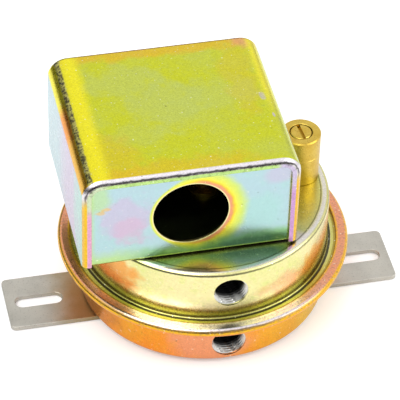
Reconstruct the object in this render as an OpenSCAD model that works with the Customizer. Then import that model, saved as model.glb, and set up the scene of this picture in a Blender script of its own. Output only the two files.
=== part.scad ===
// Differential air pressure switch: two crimped steel pans with a diaphragm between them,
// a sheet steel wiring enclosure on top, a brass range adjuster and a slotted mounting strap.
// Millimetres, +Z up. The origin is on the underside of the strap, on the axis of the pans.

/* [Mounting strap] */
// Length of the strap
strap_l = 120; // [112:1:160]
// Width of the strap
strap_w = 21; // [16:0.5:30]
// Thickness of the strap
strap_t = 1.5; // [1:0.1:3]
// Corner radius of the strap
strap_corner_r = 1.6; // [0.5:0.1:4]
// Distance between the two slot centres
slot_spacing = 100; // [96:1:140]
// Overall length of a slot
slot_l = 14.4; // [8:0.2:20]
// Width of a slot
slot_w = 4.6; // [4.2:0.1:6]
// Strap centre from the axis of the pans, along the strap
strap_offset_x = -1; // [-3:0.1:3]
// Strap centre from the axis of the pans, across the strap
strap_offset_y = -1.9; // [-3:0.1:3]

/* [Pans] */
// Outer radius of both pans' walls
pan_r = 37.5; // [36:0.5:50]
// Sheet thickness of the pans
pan_t = 0.8; // [0.6:0.1:1.2]
// Depth of the lower pan, from its floor's underside to the diaphragm
lower_pan_h = 16.6; // [16:0.2:24]
// Height of the upper pan, from the diaphragm to the top of its roof
upper_pan_h = 18.4; // [18:0.2:24]
// Outer bend radius between a pan's wall and its flat end
pan_bend_r = 1.6; // [1:0.1:3]
// Width of the rolled rim, outward from the pans' wall
rim_w = 6.5; // [6:0.1:9]
// Width of the rim's folded lip, inward from the rim's outer edge
lip_w = 3.8; // [2.5:0.1:5]

/* [Ports] */
// Bore radius of both threaded ports
port_r = 4.9; // [3:0.1:5]
// Outer radius of the port bosses
port_boss_r = 5.7; // [5.4:0.1:5.8]
// Depth of the port bosses from the pan's wall
port_boss_l = 10; // [6:0.5:12]
// Height of the high-pressure port's axis above the lower pan's underside
high_port_h = 7.1; // [7:0.1:10]
// Depth of the low-pressure port's axis below the upper pan's top
low_port_d = 7.8; // [7:0.1:10]

/* [Diaphragm] */
// Thickness of the diaphragm
diaphragm_t = 0.4; // [0.3:0.1:0.8]
// Radius of the two diaphragm plates
plate_r = 27; // [20:0.5:28]
// Thickness of the diaphragm plates
plate_t = 1; // [0.6:0.1:1.5]
// Mean radius of the diaphragm's roll
roll_r = 31.2; // [31:0.1:32]
// Radius of the roll's section
roll_section_r = 2.8; // [1.5:0.1:3]
// Radius of the centre stud
stud_r = 2; // [1.5:0.1:2.5]

/* [Range lever and spring] */
// Distance of the lever's pivot from the axis, to the left
pivot_x = 28; // [24:0.5:29]
// Width of the lever
lever_w = 8; // [5:0.5:8]
// Thickness of the lever
lever_t = 1.5; // [1:0.1:2]
// Height of the lever's underside above the diaphragm
lever_h = 8.2; // [7.5:0.1:9]
// Radius of the pivot pin
pivot_pin_r = 1.5; // [1:0.1:1.8]
// Mean coil radius of the range spring
spring_r = 3.4; // [2.8:0.1:3.4]
// Wire radius of the range spring
spring_wire_r = 0.45; // [0.3:0.05:0.5]
// Number of turns of the range spring
spring_turns = 9; // [6:1:12]

/* [Adjuster] */
// Distance of the adjuster's axis from the pans' axis, to the right
adjuster_x = 29.3; // [28.5:0.1:30]
// Distance of the adjuster's axis from the pans' axis, to the back
adjuster_y = 1.3; // [-4:0.1:4]
// Outer radius of the brass barrel
barrel_r = 6; // [5.9:0.1:6.4]
// Height of the barrel above the upper pan
barrel_h = 16.4; // [15:0.2:24]
// Bore radius of the barrel
barrel_bore_r = 4.2; // [4.2:0.1:4.6]
// Radius of the slotted screw head in the top of the barrel
adjuster_head_r = 3.37; // [2.8:0.01:3.6]
// Radius of the adjusting screw's stem
adjuster_stem_r = 1.6; // [1.2:0.1:2]

/* [Enclosure] */
// Width of the cover
cover_w = 64; // [53:0.5:64.5]
// Depth of the cover, front to back
cover_d = 57.6; // [50:0.5:66]
// Height of the cover
cover_h = 32.4; // [32:0.2:50]
// Sheet thickness of the cover
cover_t = 0.9; // [0.6:0.1:1.2]
// Outer bend radius at the cover's top left and top right
cover_bend_r = 6; // [3:0.5:8]
// Outer bend radius between the cover's top and its front flange
front_bend_r = 2; // [1.2:0.1:4]
// Width of the cover's front flange
front_flange_w = 2.8; // [2:0.1:5]
// Cover centre from the axis of the pans, to the left
cover_offset_x = 10.3; // [10:0.1:14]
// Cover centre from the axis of the pans, to the back
cover_offset_y = 0.3; // [-4:0.1:4]
// Gap between the upper pan and the cover's lower edge
cover_gap = 0.8; // [0.4:0.1:2]
// Sheet thickness of the enclosure's base
base_t = 1; // [0.8:0.1:1.5]
// Radius of the conduit hole
conduit_r = 11.1; // [8:0.05:11.5]
// Height of the conduit hole's axis above the upper pan
conduit_h = 16.2; // [15.5:0.1:18]
// Radius of the cover screw's shank
cover_screw_r = 2; // [1.5:0.1:2.5]
// Height of the cover screw above the upper pan
cover_screw_h = 8; // [6:0.5:12]

/* [Snap switch] */
// Length of the switch case
case_l = 28; // [27:0.5:30]
// Width of the switch case
case_w = 10.4; // [10:0.2:14]
// Height of the switch case
case_h = 16; // [15.5:0.2:17]
// Wall thickness of the switch case
case_t = 1.3; // [1:0.1:1.6]
// Right end of the switch case from the pans' axis
case_right_x = 10; // [10:0.5:12]
// Gap between the upper pan's top and the case
case_gap = 8.1; // [8:0.1:9]
// Radius of the plunger and of the switch button
plunger_r = 1.5; // [1:0.1:1.8]
// Radius of the two screws that hold the case
case_screw_r = 1.5; // [1.2:0.1:1.7]

/* [Fasteners and clearances] */
// Shank radius of the rivets
rivet_r = 1.5; // [1:0.1:2]
// Head radius of the rivets
rivet_head_r = 2.7; // [2.2:0.1:3.2]
// Height of a rivet head
rivet_head_h = 1.2; // [0.8:0.1:1.6]
// Radial clearance of a running fit
running_fit = 0.05; // [0.02:0.01:0.1]
// Gap between pieces of different moving groups
part_gap = 0.3; // [0.2:0.05:0.4]

/* [Hidden] */
$fn = 96;
cut = 1;                                     // how far a cutter runs past what it cuts

// Heights of the stack, from the strap's underside upward
pan_floor_z = strap_t;
clamp_z = pan_floor_z + lower_pan_h;         // underside of the diaphragm's clamped edge
upper_flange_z = clamp_z + diaphragm_t;
upper_flange_top_z = upper_flange_z + pan_t;
rim_top_z = upper_flange_top_z + pan_t;
rim_bottom_z = clamp_z - pan_t;
roof_z = upper_flange_z + upper_pan_h;       // top of the upper pan
roof_under_z = roof_z - pan_t;
floor_top_z = roof_z + base_t;               // top of the enclosure's floor
pan_in_r = pan_r - pan_t;
roll_out_r = (rim_top_z - rim_bottom_z) / 2; // section radius of the rolled rim
roll_in_r = roll_out_r - pan_t;
rim_r = pan_r + rim_w;
rim_centre_r = rim_r - roll_out_r;
rim_centre_z = (rim_top_z + rim_bottom_z) / 2;
flange_end_r = rim_centre_r - 0.2;
foot_r = 0.8;                                // inner bend radius between a wall and its flange

// Rivets between the strap and the lower pan, from the strap's centre
strap_rivet_places = [for (x = [-22, 22]) for (y = [-5, 5]) [x, y]];

// Ports
high_port_z = pan_floor_z + high_port_h;
low_port_z = roof_z - low_port_d;
port_hole_clear = 0.2;

// Diaphragm assembly
plate_top_z = upper_flange_z + plate_t;
stud_nut_h = 2;
stud_nut_flats = 7;
stud_head_r = 4;
stud_head_h = 1;
lever_under_z = clamp_z + lever_h;
lever_top_z = lever_under_z + lever_t;
stud_top_z = lever_under_z - part_gap;

// Lever and its fulcrum
hub_r = 3;
pivot_z = (lever_under_z + lever_top_z) / 2;
lever_tip_x = adjuster_x + barrel_bore_r;
spigot_r = 2.2;
spigot_h = 2;
cheek_t = 1;
cheek_gap = 0.4;                             // between the lever's hub and each cheek
cheek_in_y = lever_w / 2 + cheek_gap;
cheek_x = 6;                                 // half length of the fulcrum bracket
cheek_drop = 1.5;
fulcrum_rivet_x = pivot_x - 3.4;
bracket_wing = 6;                            // width of each wing riveted to the roof
bracket_rivet_y = cheek_in_y + cheek_t + bracket_wing / 2;

// Plunger and its guide
plunger_low_z = lever_top_z + 0.2;
case_z = roof_z + case_gap;
button_low_z = case_z - 1.6;
plunger_top_z = button_low_z - part_gap;
bushing_r = 3.4;
bushing_flange_r = 5.2;
bushing_flange_h = 1.2;
bushing_top_z = plunger_top_z - 1.6;
bushing_low_z = roof_under_z - 2.2;
snug = 0.1;                                  // radial gap of a part in its hole

// Adjuster
barrel_top_z = roof_z + barrel_h;
barrel_wall_top = 3;
barrel_seat_z = barrel_top_z - barrel_wall_top;
neck_r = barrel_r - 0.7;
neck_low_z = roof_under_z - 3.1;
locknut_h = 2.5;
locknut_flats = 2 * neck_r + 1.4;
collar_h = 1;
collar_r = barrel_bore_r - 0.2;
stem_low_z = roof_z + 1.1;
slot_width = 1;
slot_depth = 1.2;
follower_h = 2.5;
follower_r = barrel_bore_r - snug;
follower_top_z = barrel_seat_z - 3.8;
follower_low_z = follower_top_z - follower_h;
key_w = 1.2;
key_r = barrel_bore_r + 0.3;
spring_low_z = lever_top_z + spring_wire_r + 0.1;
spring_high_z = follower_low_z - spring_wire_r - 0.1;

// Enclosure
cover_left_x = -cover_offset_x - cover_w / 2;
cover_right_x = -cover_offset_x + cover_w / 2;
cover_front_y = cover_offset_y - cover_d / 2;
cover_back_y = cover_offset_y + cover_d / 2;
cover_low_z = roof_z + cover_gap;
cover_top_z = cover_low_z + cover_h;
panel_gap = 0.3;
panel_top_gap = 0.8;
panel_w = cover_w - 2 * (cover_t + panel_gap);
panel_front_y = cover_front_y + cover_t + panel_gap;
panel_top_z = cover_top_z - cover_t - panel_top_gap;
panel_corner_r = cover_bend_r - cover_t - panel_gap;
lug_back_y = cover_back_y - cover_t - panel_gap;
lug_w = 14;
lug_h = 14;
cover_screw_z = roof_z + cover_screw_h;
cover_screw_head_r = 4;
cover_screw_head_h = 2.2;
liner_t = 0.4;
liner_edge = 3;
conduit_z = roof_z + conduit_h;
ground_x = -33;
ground_y = -15;
base_rivet_places = [[-25, 18], [-25, -18], [13, -20], [13, 20]];

// Snap switch
case_left_x = case_right_x - case_l;
case_top_z = case_z + case_h;
case_front_y = -case_w / 2;
case_back_y = case_w / 2;
case_screw_z = case_top_z - 3.8;
case_screw_xs = [case_left_x + 3.6, case_right_x - 3.6];
case_boss_r = case_screw_r + 1.3;
button_flange_r = plunger_r + 0.7;
button_flange_h = 0.8;
blade_z = case_z + 6;
blade_t = 0.3;
blade_w = 4;
blade_pivot_x = 5;
contact_x = -10;
contact_r = 1.2;
contact_h = 0.4;
button_top_z = blade_z - 0.9;
strip_t = 0.8;
strip_w = 4;
common_x = 2;
open_contact_z = blade_z + blade_t + contact_h + 1.3;
closed_contact_z = blade_z - contact_h - 0.2;
pad_l = 6.8;
pad_z = case_top_z + 0.2;
terminal_screw_r = 1.2;
terminal_head_r = 2.4;
terminal_head_h = 1.5;
pad_screw_inset = pad_l - terminal_head_r - 0.6;
terminal_pad_xs = [contact_x - pad_screw_inset, common_x + pad_screw_inset];
side_screw_z = case_z + 11;
bracket_t = 1.2;
bracket_foot = 9;
bracket_top_z = case_top_z - 0.5;
bracket_rivet_xs = [case_left_x + 5, case_right_x - 5];
bracket_back_y = case_back_y + bracket_t;
bracket_rivet_row_y = bracket_back_y + bracket_foot / 2 + 0.5;

steel = "lightgray";
zinc = "khaki";
brass = "goldenrod";
black = "dimgray";

// Points along an arc of radius r about [x, y], from angle a to angle b
function arc(x, y, r, a, b, n = 10) =
    [for (i = [0:n]) [x + r * cos(a + (b - a) * i / n), y + r * sin(a + (b - a) * i / n)]];

// Points round a circle of radius r, swept along a path, for a wire
function ring(p, a, r, n) =
    [for (i = [0:n - 1]) let (t = 360 * i / n)
        [p[0] + r * cos(t) * cos(a), p[1] + r * cos(t) * sin(a), p[2] + r * sin(t)]];

// Closed coil of round wire standing on Z
module coil(mean_r, wire_r, low_z, high_z, turns, steps = 16, sides = 6) {
    count = turns * steps;
    rings = [for (i = [0:count]) let (a = 360 * i / steps)
        ring([mean_r * cos(a), mean_r * sin(a), low_z + (high_z - low_z) * i / count],
            a, wire_r, sides)];
    points = [for (r = rings) for (p = r) p];
    walls = [for (i = [0:count - 1]) for (j = [0:sides - 1])
        let (k = (j + 1) % sides)
        [i * sides + j, (i + 1) * sides + j, (i + 1) * sides + k, i * sides + k]];
    first = [[for (j = [0:sides - 1]) j]];
    last = [[for (j = [sides - 1:-1:0]) count * sides + j]];
    polyhedron(points, concat(first, walls, last));
}

// Cylinder along Y, from y0 to y1, about x and z
module y_cylinder(r, x, z, y0, y1) {
    translate([x, y1, z]) rotate([90, 0, 0]) cylinder(r = r, h = y1 - y0);
}

// Hexagonal prism along Z measured across its flats
module hexagon(flats, h) {
    rotate([0, 0, 30]) cylinder(d = flats / cos(30), h = h, $fn = 6);
}

// Two-headed rivet through z0..z1: a formed head above, a smaller one below
module rivet(z0, z1) {
    translate([0, 0, z0]) cylinder(r = rivet_r, h = z1 - z0);
    translate([0, 0, z1]) cylinder(r = rivet_head_r, h = rivet_head_h);
    translate([0, 0, z0 - rivet_head_h]) cylinder(r = rivet_head_r - 0.3, h = rivet_head_h);
}

// Rectangle with square lower corners and round upper ones, centred in x, base at 0
module round_top(w, h, r) {
    translate([-w / 2, 0]) square([w, h - r]);
    translate([-w / 2 + r, 0]) square([w - 2 * r, h]);
    for (side = [-1, 1]) translate([side * (w / 2 - r), h - r]) circle(r);
}

// Rectangle with four round corners, centred
module rounded(w, h, r) {
    square([w - 2 * r, h], center = true);
    square([w, h - 2 * r], center = true);
    for (i = [-1, 1]) for (j = [-1, 1])
        translate([i * (w / 2 - r), j * (h / 2 - r)]) circle(r);
}

// Outline of one slot in the strap, centred
module slot() {
    square([slot_l - slot_w, slot_w], center = true);
    for (side = [-1, 1]) translate([side * (slot_l - slot_w) / 2, 0]) circle(slot_w / 2);
}

module mounting_strap() color(steel)
    translate([strap_offset_x, strap_offset_y, 0])
    difference() {
        linear_extrude(strap_t) rounded(strap_l, strap_w, strap_corner_r);
        for (side = [-1, 1]) translate([side * slot_spacing / 2, 0, -cut])
            linear_extrude(strap_t + 2 * cut) slot();
        for (p = strap_rivet_places) translate([p[0], p[1], -cut])
            cylinder(r = rivet_r, h = strap_t + 2 * cut);
    }

module strap_rivets() color(steel)
    translate([strap_offset_x, strap_offset_y, 0])
    for (p = strap_rivet_places) translate([p[0], p[1], 0]) {
        cylinder(r = rivet_r, h = strap_t + pan_t);
        translate([0, 0, strap_t + pan_t]) cylinder(r = rivet_head_r, h = rivet_head_h);
    }

module lower_housing() color("darkorange")
    difference() {
        rotate_extrude() polygon(concat(
            [[0, pan_floor_z]],
            arc(pan_r - pan_bend_r, pan_floor_z + pan_bend_r, pan_bend_r, -90, 0),
            arc(pan_r + foot_r, rim_bottom_z - foot_r, foot_r, 180, 90, 6),
            arc(rim_centre_r, rim_centre_z, roll_out_r, -90, 90, 16),
            [[rim_r - lip_w, rim_top_z], [rim_r - lip_w, upper_flange_top_z]],
            arc(rim_centre_r, rim_centre_z, roll_in_r, 90, -90, 12),
            arc(pan_r + foot_r, rim_bottom_z - foot_r, foot_r + pan_t, 90, 180, 8),
            arc(pan_r - pan_bend_r, pan_floor_z + pan_bend_r, pan_bend_r - pan_t, 0, -90, 8),
            [[0, pan_floor_z + pan_t]]));
        y_cylinder(port_r + port_hole_clear, 0, high_port_z, -pan_r - cut, -pan_in_r + cut);
        translate([strap_offset_x, strap_offset_y, pan_floor_z - cut])
            for (p = strap_rivet_places) translate([p[0], p[1], 0])
                cylinder(r = rivet_r, h = pan_t + 2 * cut);
    }

module upper_housing() color(zinc)
    difference() {
        rotate_extrude() polygon(concat(
            [[0, roof_z]],
            arc(pan_r - pan_bend_r, roof_z - pan_bend_r, pan_bend_r, 90, 0),
            arc(pan_r + foot_r, upper_flange_top_z + foot_r, foot_r, 180, 270, 6),
            [[flange_end_r, upper_flange_top_z], [flange_end_r, upper_flange_z]],
            arc(pan_r + foot_r, upper_flange_top_z + foot_r, foot_r + pan_t, 270, 180, 8),
            arc(pan_r - pan_bend_r, roof_z - pan_bend_r, pan_bend_r - pan_t, 0, 90, 8),
            [[0, roof_under_z]]));
        y_cylinder(port_r + port_hole_clear, 0, low_port_z, -pan_r - cut, -pan_in_r + cut);
        translate([0, 0, roof_under_z - cut]) cylinder(r = bushing_r + snug, h = pan_t + 2 * cut);
        translate([adjuster_x, adjuster_y, roof_under_z - cut])
            cylinder(r = neck_r + snug, h = pan_t + 2 * cut);
        for (p = base_rivet_places) translate([p[0], p[1], roof_under_z - cut])
            cylinder(r = rivet_r, h = pan_t + 2 * cut);
        for (side = [-1, 1]) translate([-pivot_x, side * bracket_rivet_y, roof_under_z - cut])
            cylinder(r = rivet_r, h = pan_t + 2 * cut);
    }

// Threaded boss behind a port, its face following the inside of the pan's wall
module port_boss(z) {
    difference() {
        intersection() {
            y_cylinder(port_boss_r, 0, z, -pan_r, -pan_in_r + port_boss_l);
            translate([0, 0, z - port_boss_r - cut])
                cylinder(r = pan_in_r, h = 2 * (port_boss_r + cut));
        }
        y_cylinder(port_r, 0, z, -pan_r - cut, -pan_in_r + port_boss_l + cut);
    }
}

module high_port_boss() color(steel) port_boss(high_port_z);

module low_port_boss() color(steel) port_boss(low_port_z);

module diaphragm() color(black)
    rotate_extrude() polygon(concat(
        [[stud_r, clamp_z]],
        [[roll_r - roll_section_r, clamp_z]],
        arc(roll_r, upper_flange_z, roll_section_r - diaphragm_t, 180, 0, 12),
        [[roll_r + roll_section_r, clamp_z], [flange_end_r, clamp_z]],
        [[flange_end_r, upper_flange_z], [roll_r + roll_section_r, upper_flange_z]],
        arc(roll_r, upper_flange_z, roll_section_r, 0, 180, 12),
        [[stud_r, upper_flange_z]]));

module diaphragm_plate(z) {
    translate([0, 0, z]) difference() {
        cylinder(r = plate_r, h = plate_t);
        translate([0, 0, -cut]) cylinder(r = stud_r, h = plate_t + 2 * cut);
    }
}

module diaphragm_plate_lower() color("silver") diaphragm_plate(clamp_z - plate_t);

module diaphragm_plate_upper() color("silver") diaphragm_plate(upper_flange_z);

module diaphragm_stud() color(steel) {
    translate([0, 0, clamp_z - plate_t - stud_head_h]) cylinder(r = stud_head_r, h = stud_head_h);
    translate([0, 0, clamp_z - plate_t])
        cylinder(r = stud_r, h = stud_top_z - stud_r / 2 - clamp_z + plate_t);
    intersection() {
        translate([0, 0, stud_top_z - stud_r]) sphere(r = stud_r);
        translate([0, 0, stud_top_z - stud_r / 2]) cylinder(r = stud_r, h = stud_r);
    }
}

module stud_nut() color(steel)
    translate([0, 0, plate_top_z]) difference() {
        hexagon(stud_nut_flats, stud_nut_h);
        translate([0, 0, -cut]) cylinder(r = stud_r, h = stud_nut_h + 2 * cut);
    }

module range_lever() color(steel) {
    difference() {
        union() {
            translate([-pivot_x, -lever_w / 2, lever_under_z])
                cube([pivot_x + lever_tip_x, lever_w, lever_t]);
            y_cylinder(hub_r, -pivot_x, pivot_z, -lever_w / 2, lever_w / 2);
        }
        y_cylinder(pivot_pin_r + running_fit, -pivot_x, pivot_z,
            -lever_w / 2 - cut, lever_w / 2 + cut);
    }
    translate([adjuster_x, adjuster_y, lever_top_z]) cylinder(r = spigot_r, h = spigot_h);
}

module fulcrum_bracket() color(steel)
    for (side = [-1, 1]) scale([1, side, 1]) difference() {
        union() {
            translate([-pivot_x - cheek_x, cheek_in_y, pivot_z - hub_r - cheek_drop])
                cube([2 * cheek_x, cheek_t, roof_under_z - pivot_z + hub_r + cheek_drop]);
            translate([-pivot_x - cheek_x, cheek_in_y, roof_under_z - cheek_t])
                cube([2 * cheek_x, cheek_t + bracket_wing, cheek_t]);
        }
        y_cylinder(pivot_pin_r, -pivot_x, pivot_z, cheek_in_y - cut, cheek_in_y + cheek_t + cut);
        translate([-pivot_x, bracket_rivet_y, roof_under_z - cheek_t - cut])
            cylinder(r = rivet_r, h = cheek_t + 2 * cut);
    }

module fulcrum_pin() color(steel)
    y_cylinder(pivot_pin_r, -pivot_x, pivot_z,
        -cheek_in_y - cheek_t - 0.8, cheek_in_y + cheek_t + 0.8);

module fulcrum_rivets() color(steel)
    for (side = [-1, 1]) translate([-pivot_x, side * bracket_rivet_y, 0]) {
        translate([0, 0, roof_under_z - cheek_t]) cylinder(r = rivet_r, h = pan_t + cheek_t);
        translate([0, 0, roof_under_z - cheek_t - rivet_head_h])
            cylinder(r = rivet_head_r, h = rivet_head_h);
    }

module plunger_pin() color("ivory")
    translate([0, 0, plunger_low_z]) cylinder(r = plunger_r, h = plunger_top_z - plunger_low_z);

module guide_bushing() color(brass)
    difference() {
        union() {
            translate([0, 0, bushing_low_z])
                cylinder(r = bushing_r, h = bushing_top_z - bushing_low_z);
            translate([0, 0, floor_top_z]) cylinder(r = bushing_flange_r, h = bushing_flange_h);
        }
        translate([0, 0, bushing_low_z - cut])
            cylinder(r = plunger_r + running_fit, h = bushing_top_z - bushing_low_z + 2 * cut);
    }

module adjuster_barrel() color(brass)
    translate([adjuster_x, adjuster_y, 0]) difference() {
        union() {
            translate([0, 0, roof_z]) cylinder(r = barrel_r, h = barrel_h);
            translate([0, 0, neck_low_z]) cylinder(r = neck_r, h = roof_z - neck_low_z);
        }
        translate([0, 0, neck_low_z - cut])
            cylinder(r = barrel_bore_r, h = barrel_seat_z - neck_low_z + cut);
        translate([0, 0, barrel_seat_z - cut])
            cylinder(r = adjuster_head_r + running_fit, h = barrel_wall_top + 2 * cut);
        translate([-key_w / 2 - snug, 0, neck_low_z - cut])
            cube([key_w + 2 * snug, key_r + snug, barrel_seat_z - neck_low_z]);
    }

module barrel_locknut() color(brass)
    translate([adjuster_x, adjuster_y, roof_under_z - locknut_h]) difference() {
        hexagon(locknut_flats, locknut_h);
        translate([0, 0, -cut]) cylinder(r = neck_r, h = locknut_h + 2 * cut);
    }

module adjusting_screw() color(brass)
    translate([adjuster_x, adjuster_y, 0]) difference() {
        union() {
            translate([0, 0, barrel_seat_z - snug])
                cylinder(r = adjuster_head_r, h = barrel_wall_top + snug);
            translate([0, 0, barrel_seat_z - snug - collar_h])
                cylinder(r = collar_r, h = collar_h);
            translate([0, 0, stem_low_z])
                cylinder(r = adjuster_stem_r, h = barrel_seat_z - stem_low_z);
        }
        translate([-slot_width / 2, -adjuster_head_r - cut, barrel_top_z - slot_depth])
            cube([slot_width, 2 * (adjuster_head_r + cut), slot_depth + cut]);
    }

module spring_follower() color(steel)
    translate([adjuster_x, adjuster_y, follower_low_z]) difference() {
        union() {
            cylinder(r = follower_r, h = follower_h);
            translate([-key_w / 2, 0, 0]) cube([key_w, key_r, follower_h]);
        }
        translate([0, 0, -cut])
            cylinder(r = adjuster_stem_r + running_fit, h = follower_h + 2 * cut);
    }

module range_spring() color("silver")
    translate([adjuster_x, adjuster_y, 0])
    coil(spring_r, spring_wire_r, spring_low_z, spring_high_z, spring_turns);

module enclosure_base() color(zinc)
    difference() {
        union() {
            translate([-cover_offset_x - panel_w / 2, panel_front_y + base_t, roof_z])
                cube([panel_w, lug_back_y - panel_front_y - base_t, base_t]);
            translate([-cover_offset_x - lug_w / 2, lug_back_y - base_t, roof_z])
                cube([lug_w, base_t, lug_h]);
        }
        y_cylinder(cover_screw_r, -cover_offset_x, cover_screw_z,
            lug_back_y - base_t - cut, lug_back_y + cut);
        translate([0, 0, roof_z - cut]) cylinder(r = bushing_r + snug, h = base_t + 2 * cut);
        for (p = base_rivet_places) translate([p[0], p[1], roof_z - cut])
            cylinder(r = rivet_r, h = base_t + 2 * cut);
        for (side = [-1, 1]) translate([-pivot_x, side * bracket_rivet_y, roof_z - cut])
            cylinder(r = rivet_r + snug, h = base_t + 2 * cut);
        for (x = bracket_rivet_xs) translate([x, bracket_rivet_row_y, roof_z - cut])
            cylinder(r = rivet_r, h = base_t + 2 * cut);
        translate([ground_x, ground_y, roof_z - cut])
            cylinder(r = rivet_r, h = base_t + 2 * cut);
    }

module front_panel() color(zinc)
    difference() {
        translate([-cover_offset_x, panel_front_y + base_t, roof_z]) rotate([90, 0, 0])
            linear_extrude(base_t) round_top(panel_w, panel_top_z - roof_z, panel_corner_r);
        y_cylinder(conduit_r, -cover_offset_x, conduit_z,
            panel_front_y - cut, panel_front_y + base_t + cut);
    }

module base_rivets() color(steel)
    for (p = base_rivet_places) translate([p[0], p[1], 0]) rivet(roof_under_z, floor_top_z);

// Solid block with the cover's bends, inset from its outside by t
module cover_block(t) {
    intersection() {
        translate([-cover_offset_x, cover_back_y - t, cover_low_z - (t > 0 ? cut : 0)])
            rotate([90, 0, 0]) linear_extrude(cover_d - 2 * t)
            round_top(cover_w - 2 * t, cover_h - t + (t > 0 ? cut : 0), cover_bend_r - t);
        translate([-cover_offset_x - cover_w / 2, cover_offset_y, cover_low_z - (t > 0 ? cut : 0)])
            rotate([90, 0, 90]) linear_extrude(cover_w)
            round_top(cover_d - 2 * t, cover_h - t + (t > 0 ? cut : 0), front_bend_r - t);
    }
}

module switch_cover() color("yellowgreen")
    difference() {
        cover_block(0);
        cover_block(cover_t);
        translate([-cover_offset_x, cover_front_y + cover_t + cut, cover_low_z - cut])
            rotate([90, 0, 0]) linear_extrude(cover_t + 2 * cut)
            round_top(cover_w - 2 * front_flange_w, cover_h - front_flange_w + cut,
                cover_bend_r - front_flange_w + cover_t);
        y_cylinder(cover_screw_r + part_gap, -cover_offset_x, cover_screw_z,
            cover_back_y - cover_t - cut, cover_back_y + cut);
        translate([-cover_offset_x - cover_screw_r - part_gap, cover_back_y - cover_t - cut,
            cover_low_z - cut])
            cube([2 * (cover_screw_r + part_gap), cover_t + 2 * cut,
                cover_screw_z - cover_low_z + cut]);
    }

module cover_liner() color("linen")
    translate([-cover_offset_x, cover_offset_y, cover_top_z - cover_t - liner_t])
    linear_extrude(liner_t)
    rounded(cover_w - 2 * (cover_bend_r + 1), cover_d - 2 * (cover_t + liner_edge), 2);

module cover_screw() color(steel)
    difference() {
        union() {
            y_cylinder(cover_screw_r - running_fit, -cover_offset_x, cover_screw_z,
                lug_back_y - base_t - 2, cover_back_y + part_gap);
            y_cylinder(cover_screw_head_r, -cover_offset_x, cover_screw_z,
                cover_back_y + part_gap, cover_back_y + part_gap + cover_screw_head_h);
        }
        translate([-cover_offset_x - cover_screw_head_r - cut,
            cover_back_y + part_gap + cover_screw_head_h - slot_depth,
            cover_screw_z - slot_width / 2])
            cube([2 * (cover_screw_head_r + cut), slot_depth + cut, slot_width]);
    }

module switch_bracket() color(steel)
    difference() {
        union() {
            translate([case_left_x, case_back_y, floor_top_z])
                cube([case_l, bracket_t, bracket_top_z - floor_top_z]);
            translate([case_left_x, case_back_y, floor_top_z])
                cube([case_l, bracket_t + bracket_foot, bracket_t]);
        }
        for (x = case_screw_xs) y_cylinder(case_screw_r + snug, x, case_screw_z,
            case_back_y - cut, bracket_back_y + cut);
        for (x = bracket_rivet_xs) translate([x, bracket_rivet_row_y, floor_top_z - cut])
            cylinder(r = rivet_r, h = bracket_t + 2 * cut);
    }

module bracket_rivets() color(steel)
    for (x = bracket_rivet_xs) translate([x, bracket_rivet_row_y, 0]) {
        translate([0, 0, roof_z]) cylinder(r = rivet_r, h = base_t + bracket_t);
        translate([0, 0, floor_top_z + bracket_t]) cylinder(r = rivet_head_r, h = rivet_head_h);
    }

module switch_case() color(black)
    difference() {
        translate([case_left_x, case_front_y, case_z]) cube([case_l, case_w - case_t, case_h]);
        difference() {
            translate([case_left_x + case_t, case_front_y + case_t, case_z + case_t])
                cube([case_l - 2 * case_t, case_w, case_h - 2 * case_t]);
            for (x = case_screw_xs)
                y_cylinder(case_boss_r, x, case_screw_z, case_front_y, case_back_y);
        }
        for (x = case_screw_xs) y_cylinder(case_screw_r + snug, x, case_screw_z,
            case_front_y - cut, case_back_y + cut);
        translate([0, 0, case_z - cut]) cylinder(r = plunger_r + snug, h = case_t + 2 * cut);
        for (x = [contact_x, common_x]) translate([x - strip_t / 2, -strip_w / 2, case_top_z - 2])
            cube([strip_t, strip_w, 3]);
        for (x = terminal_pad_xs) translate([x, 0, case_top_z - 2])
            cylinder(r = terminal_screw_r, h = 3);
        translate([case_left_x - cut, -strip_w / 2, closed_contact_z - contact_h - strip_t])
            cube([case_t + 2 * cut, strip_w, strip_t]);
        translate([case_left_x - cut, 0, side_screw_z]) rotate([0, 90, 0])
            cylinder(r = terminal_screw_r, h = case_t + cut);
    }

module switch_case_lid() color("gray")
    difference() {
        translate([case_left_x, case_back_y - case_t, case_z]) cube([case_l, case_t, case_h]);
        for (x = case_screw_xs) y_cylinder(case_screw_r + snug, x, case_screw_z,
            case_back_y - case_t - cut, case_back_y + cut);
    }

module switch_button() color("firebrick") {
    translate([0, 0, button_low_z]) cylinder(r = plunger_r, h = button_top_z - button_low_z);
    translate([0, 0, case_z + case_t + 0.2]) cylinder(r = button_flange_r, h = button_flange_h);
}

module snap_blade() color("peru") {
    translate([contact_x - 1, -blade_w / 2, blade_z])
        cube([blade_pivot_x - contact_x + 1.5, blade_w, blade_t]);
    translate([contact_x, 0, blade_z - contact_h]) cylinder(r = contact_r, h = contact_h);
    translate([contact_x, 0, blade_z + blade_t]) cylinder(r = contact_r, h = contact_h);
}

// Strip up through the case's top with a pad lying to one side, and the pad's screw hole
module top_terminal(x, low_z, side, pad_x) {
    difference() {
        union() {
            translate([x - strip_t / 2, -strip_w / 2, low_z])
                cube([strip_t, strip_w, pad_z + strip_t - low_z]);
            translate([side > 0 ? x - strip_t / 2 : x - pad_l + strip_t / 2, -strip_w / 2 - 1, pad_z])
                cube([pad_l, strip_w + 2, strip_t]);
        }
        translate([pad_x, 0, pad_z - cut]) cylinder(r = terminal_screw_r, h = strip_t + 2 * cut);
    }
}

module common_terminal() color(brass) {
    top_terminal(common_x, blade_z + blade_t + 0.3, 1, terminal_pad_xs[1]);
    translate([common_x - strip_t / 2, -strip_w / 2, blade_z + blade_t + 0.3])
        cube([blade_pivot_x - common_x + 1, strip_w, strip_t]);
}

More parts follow.
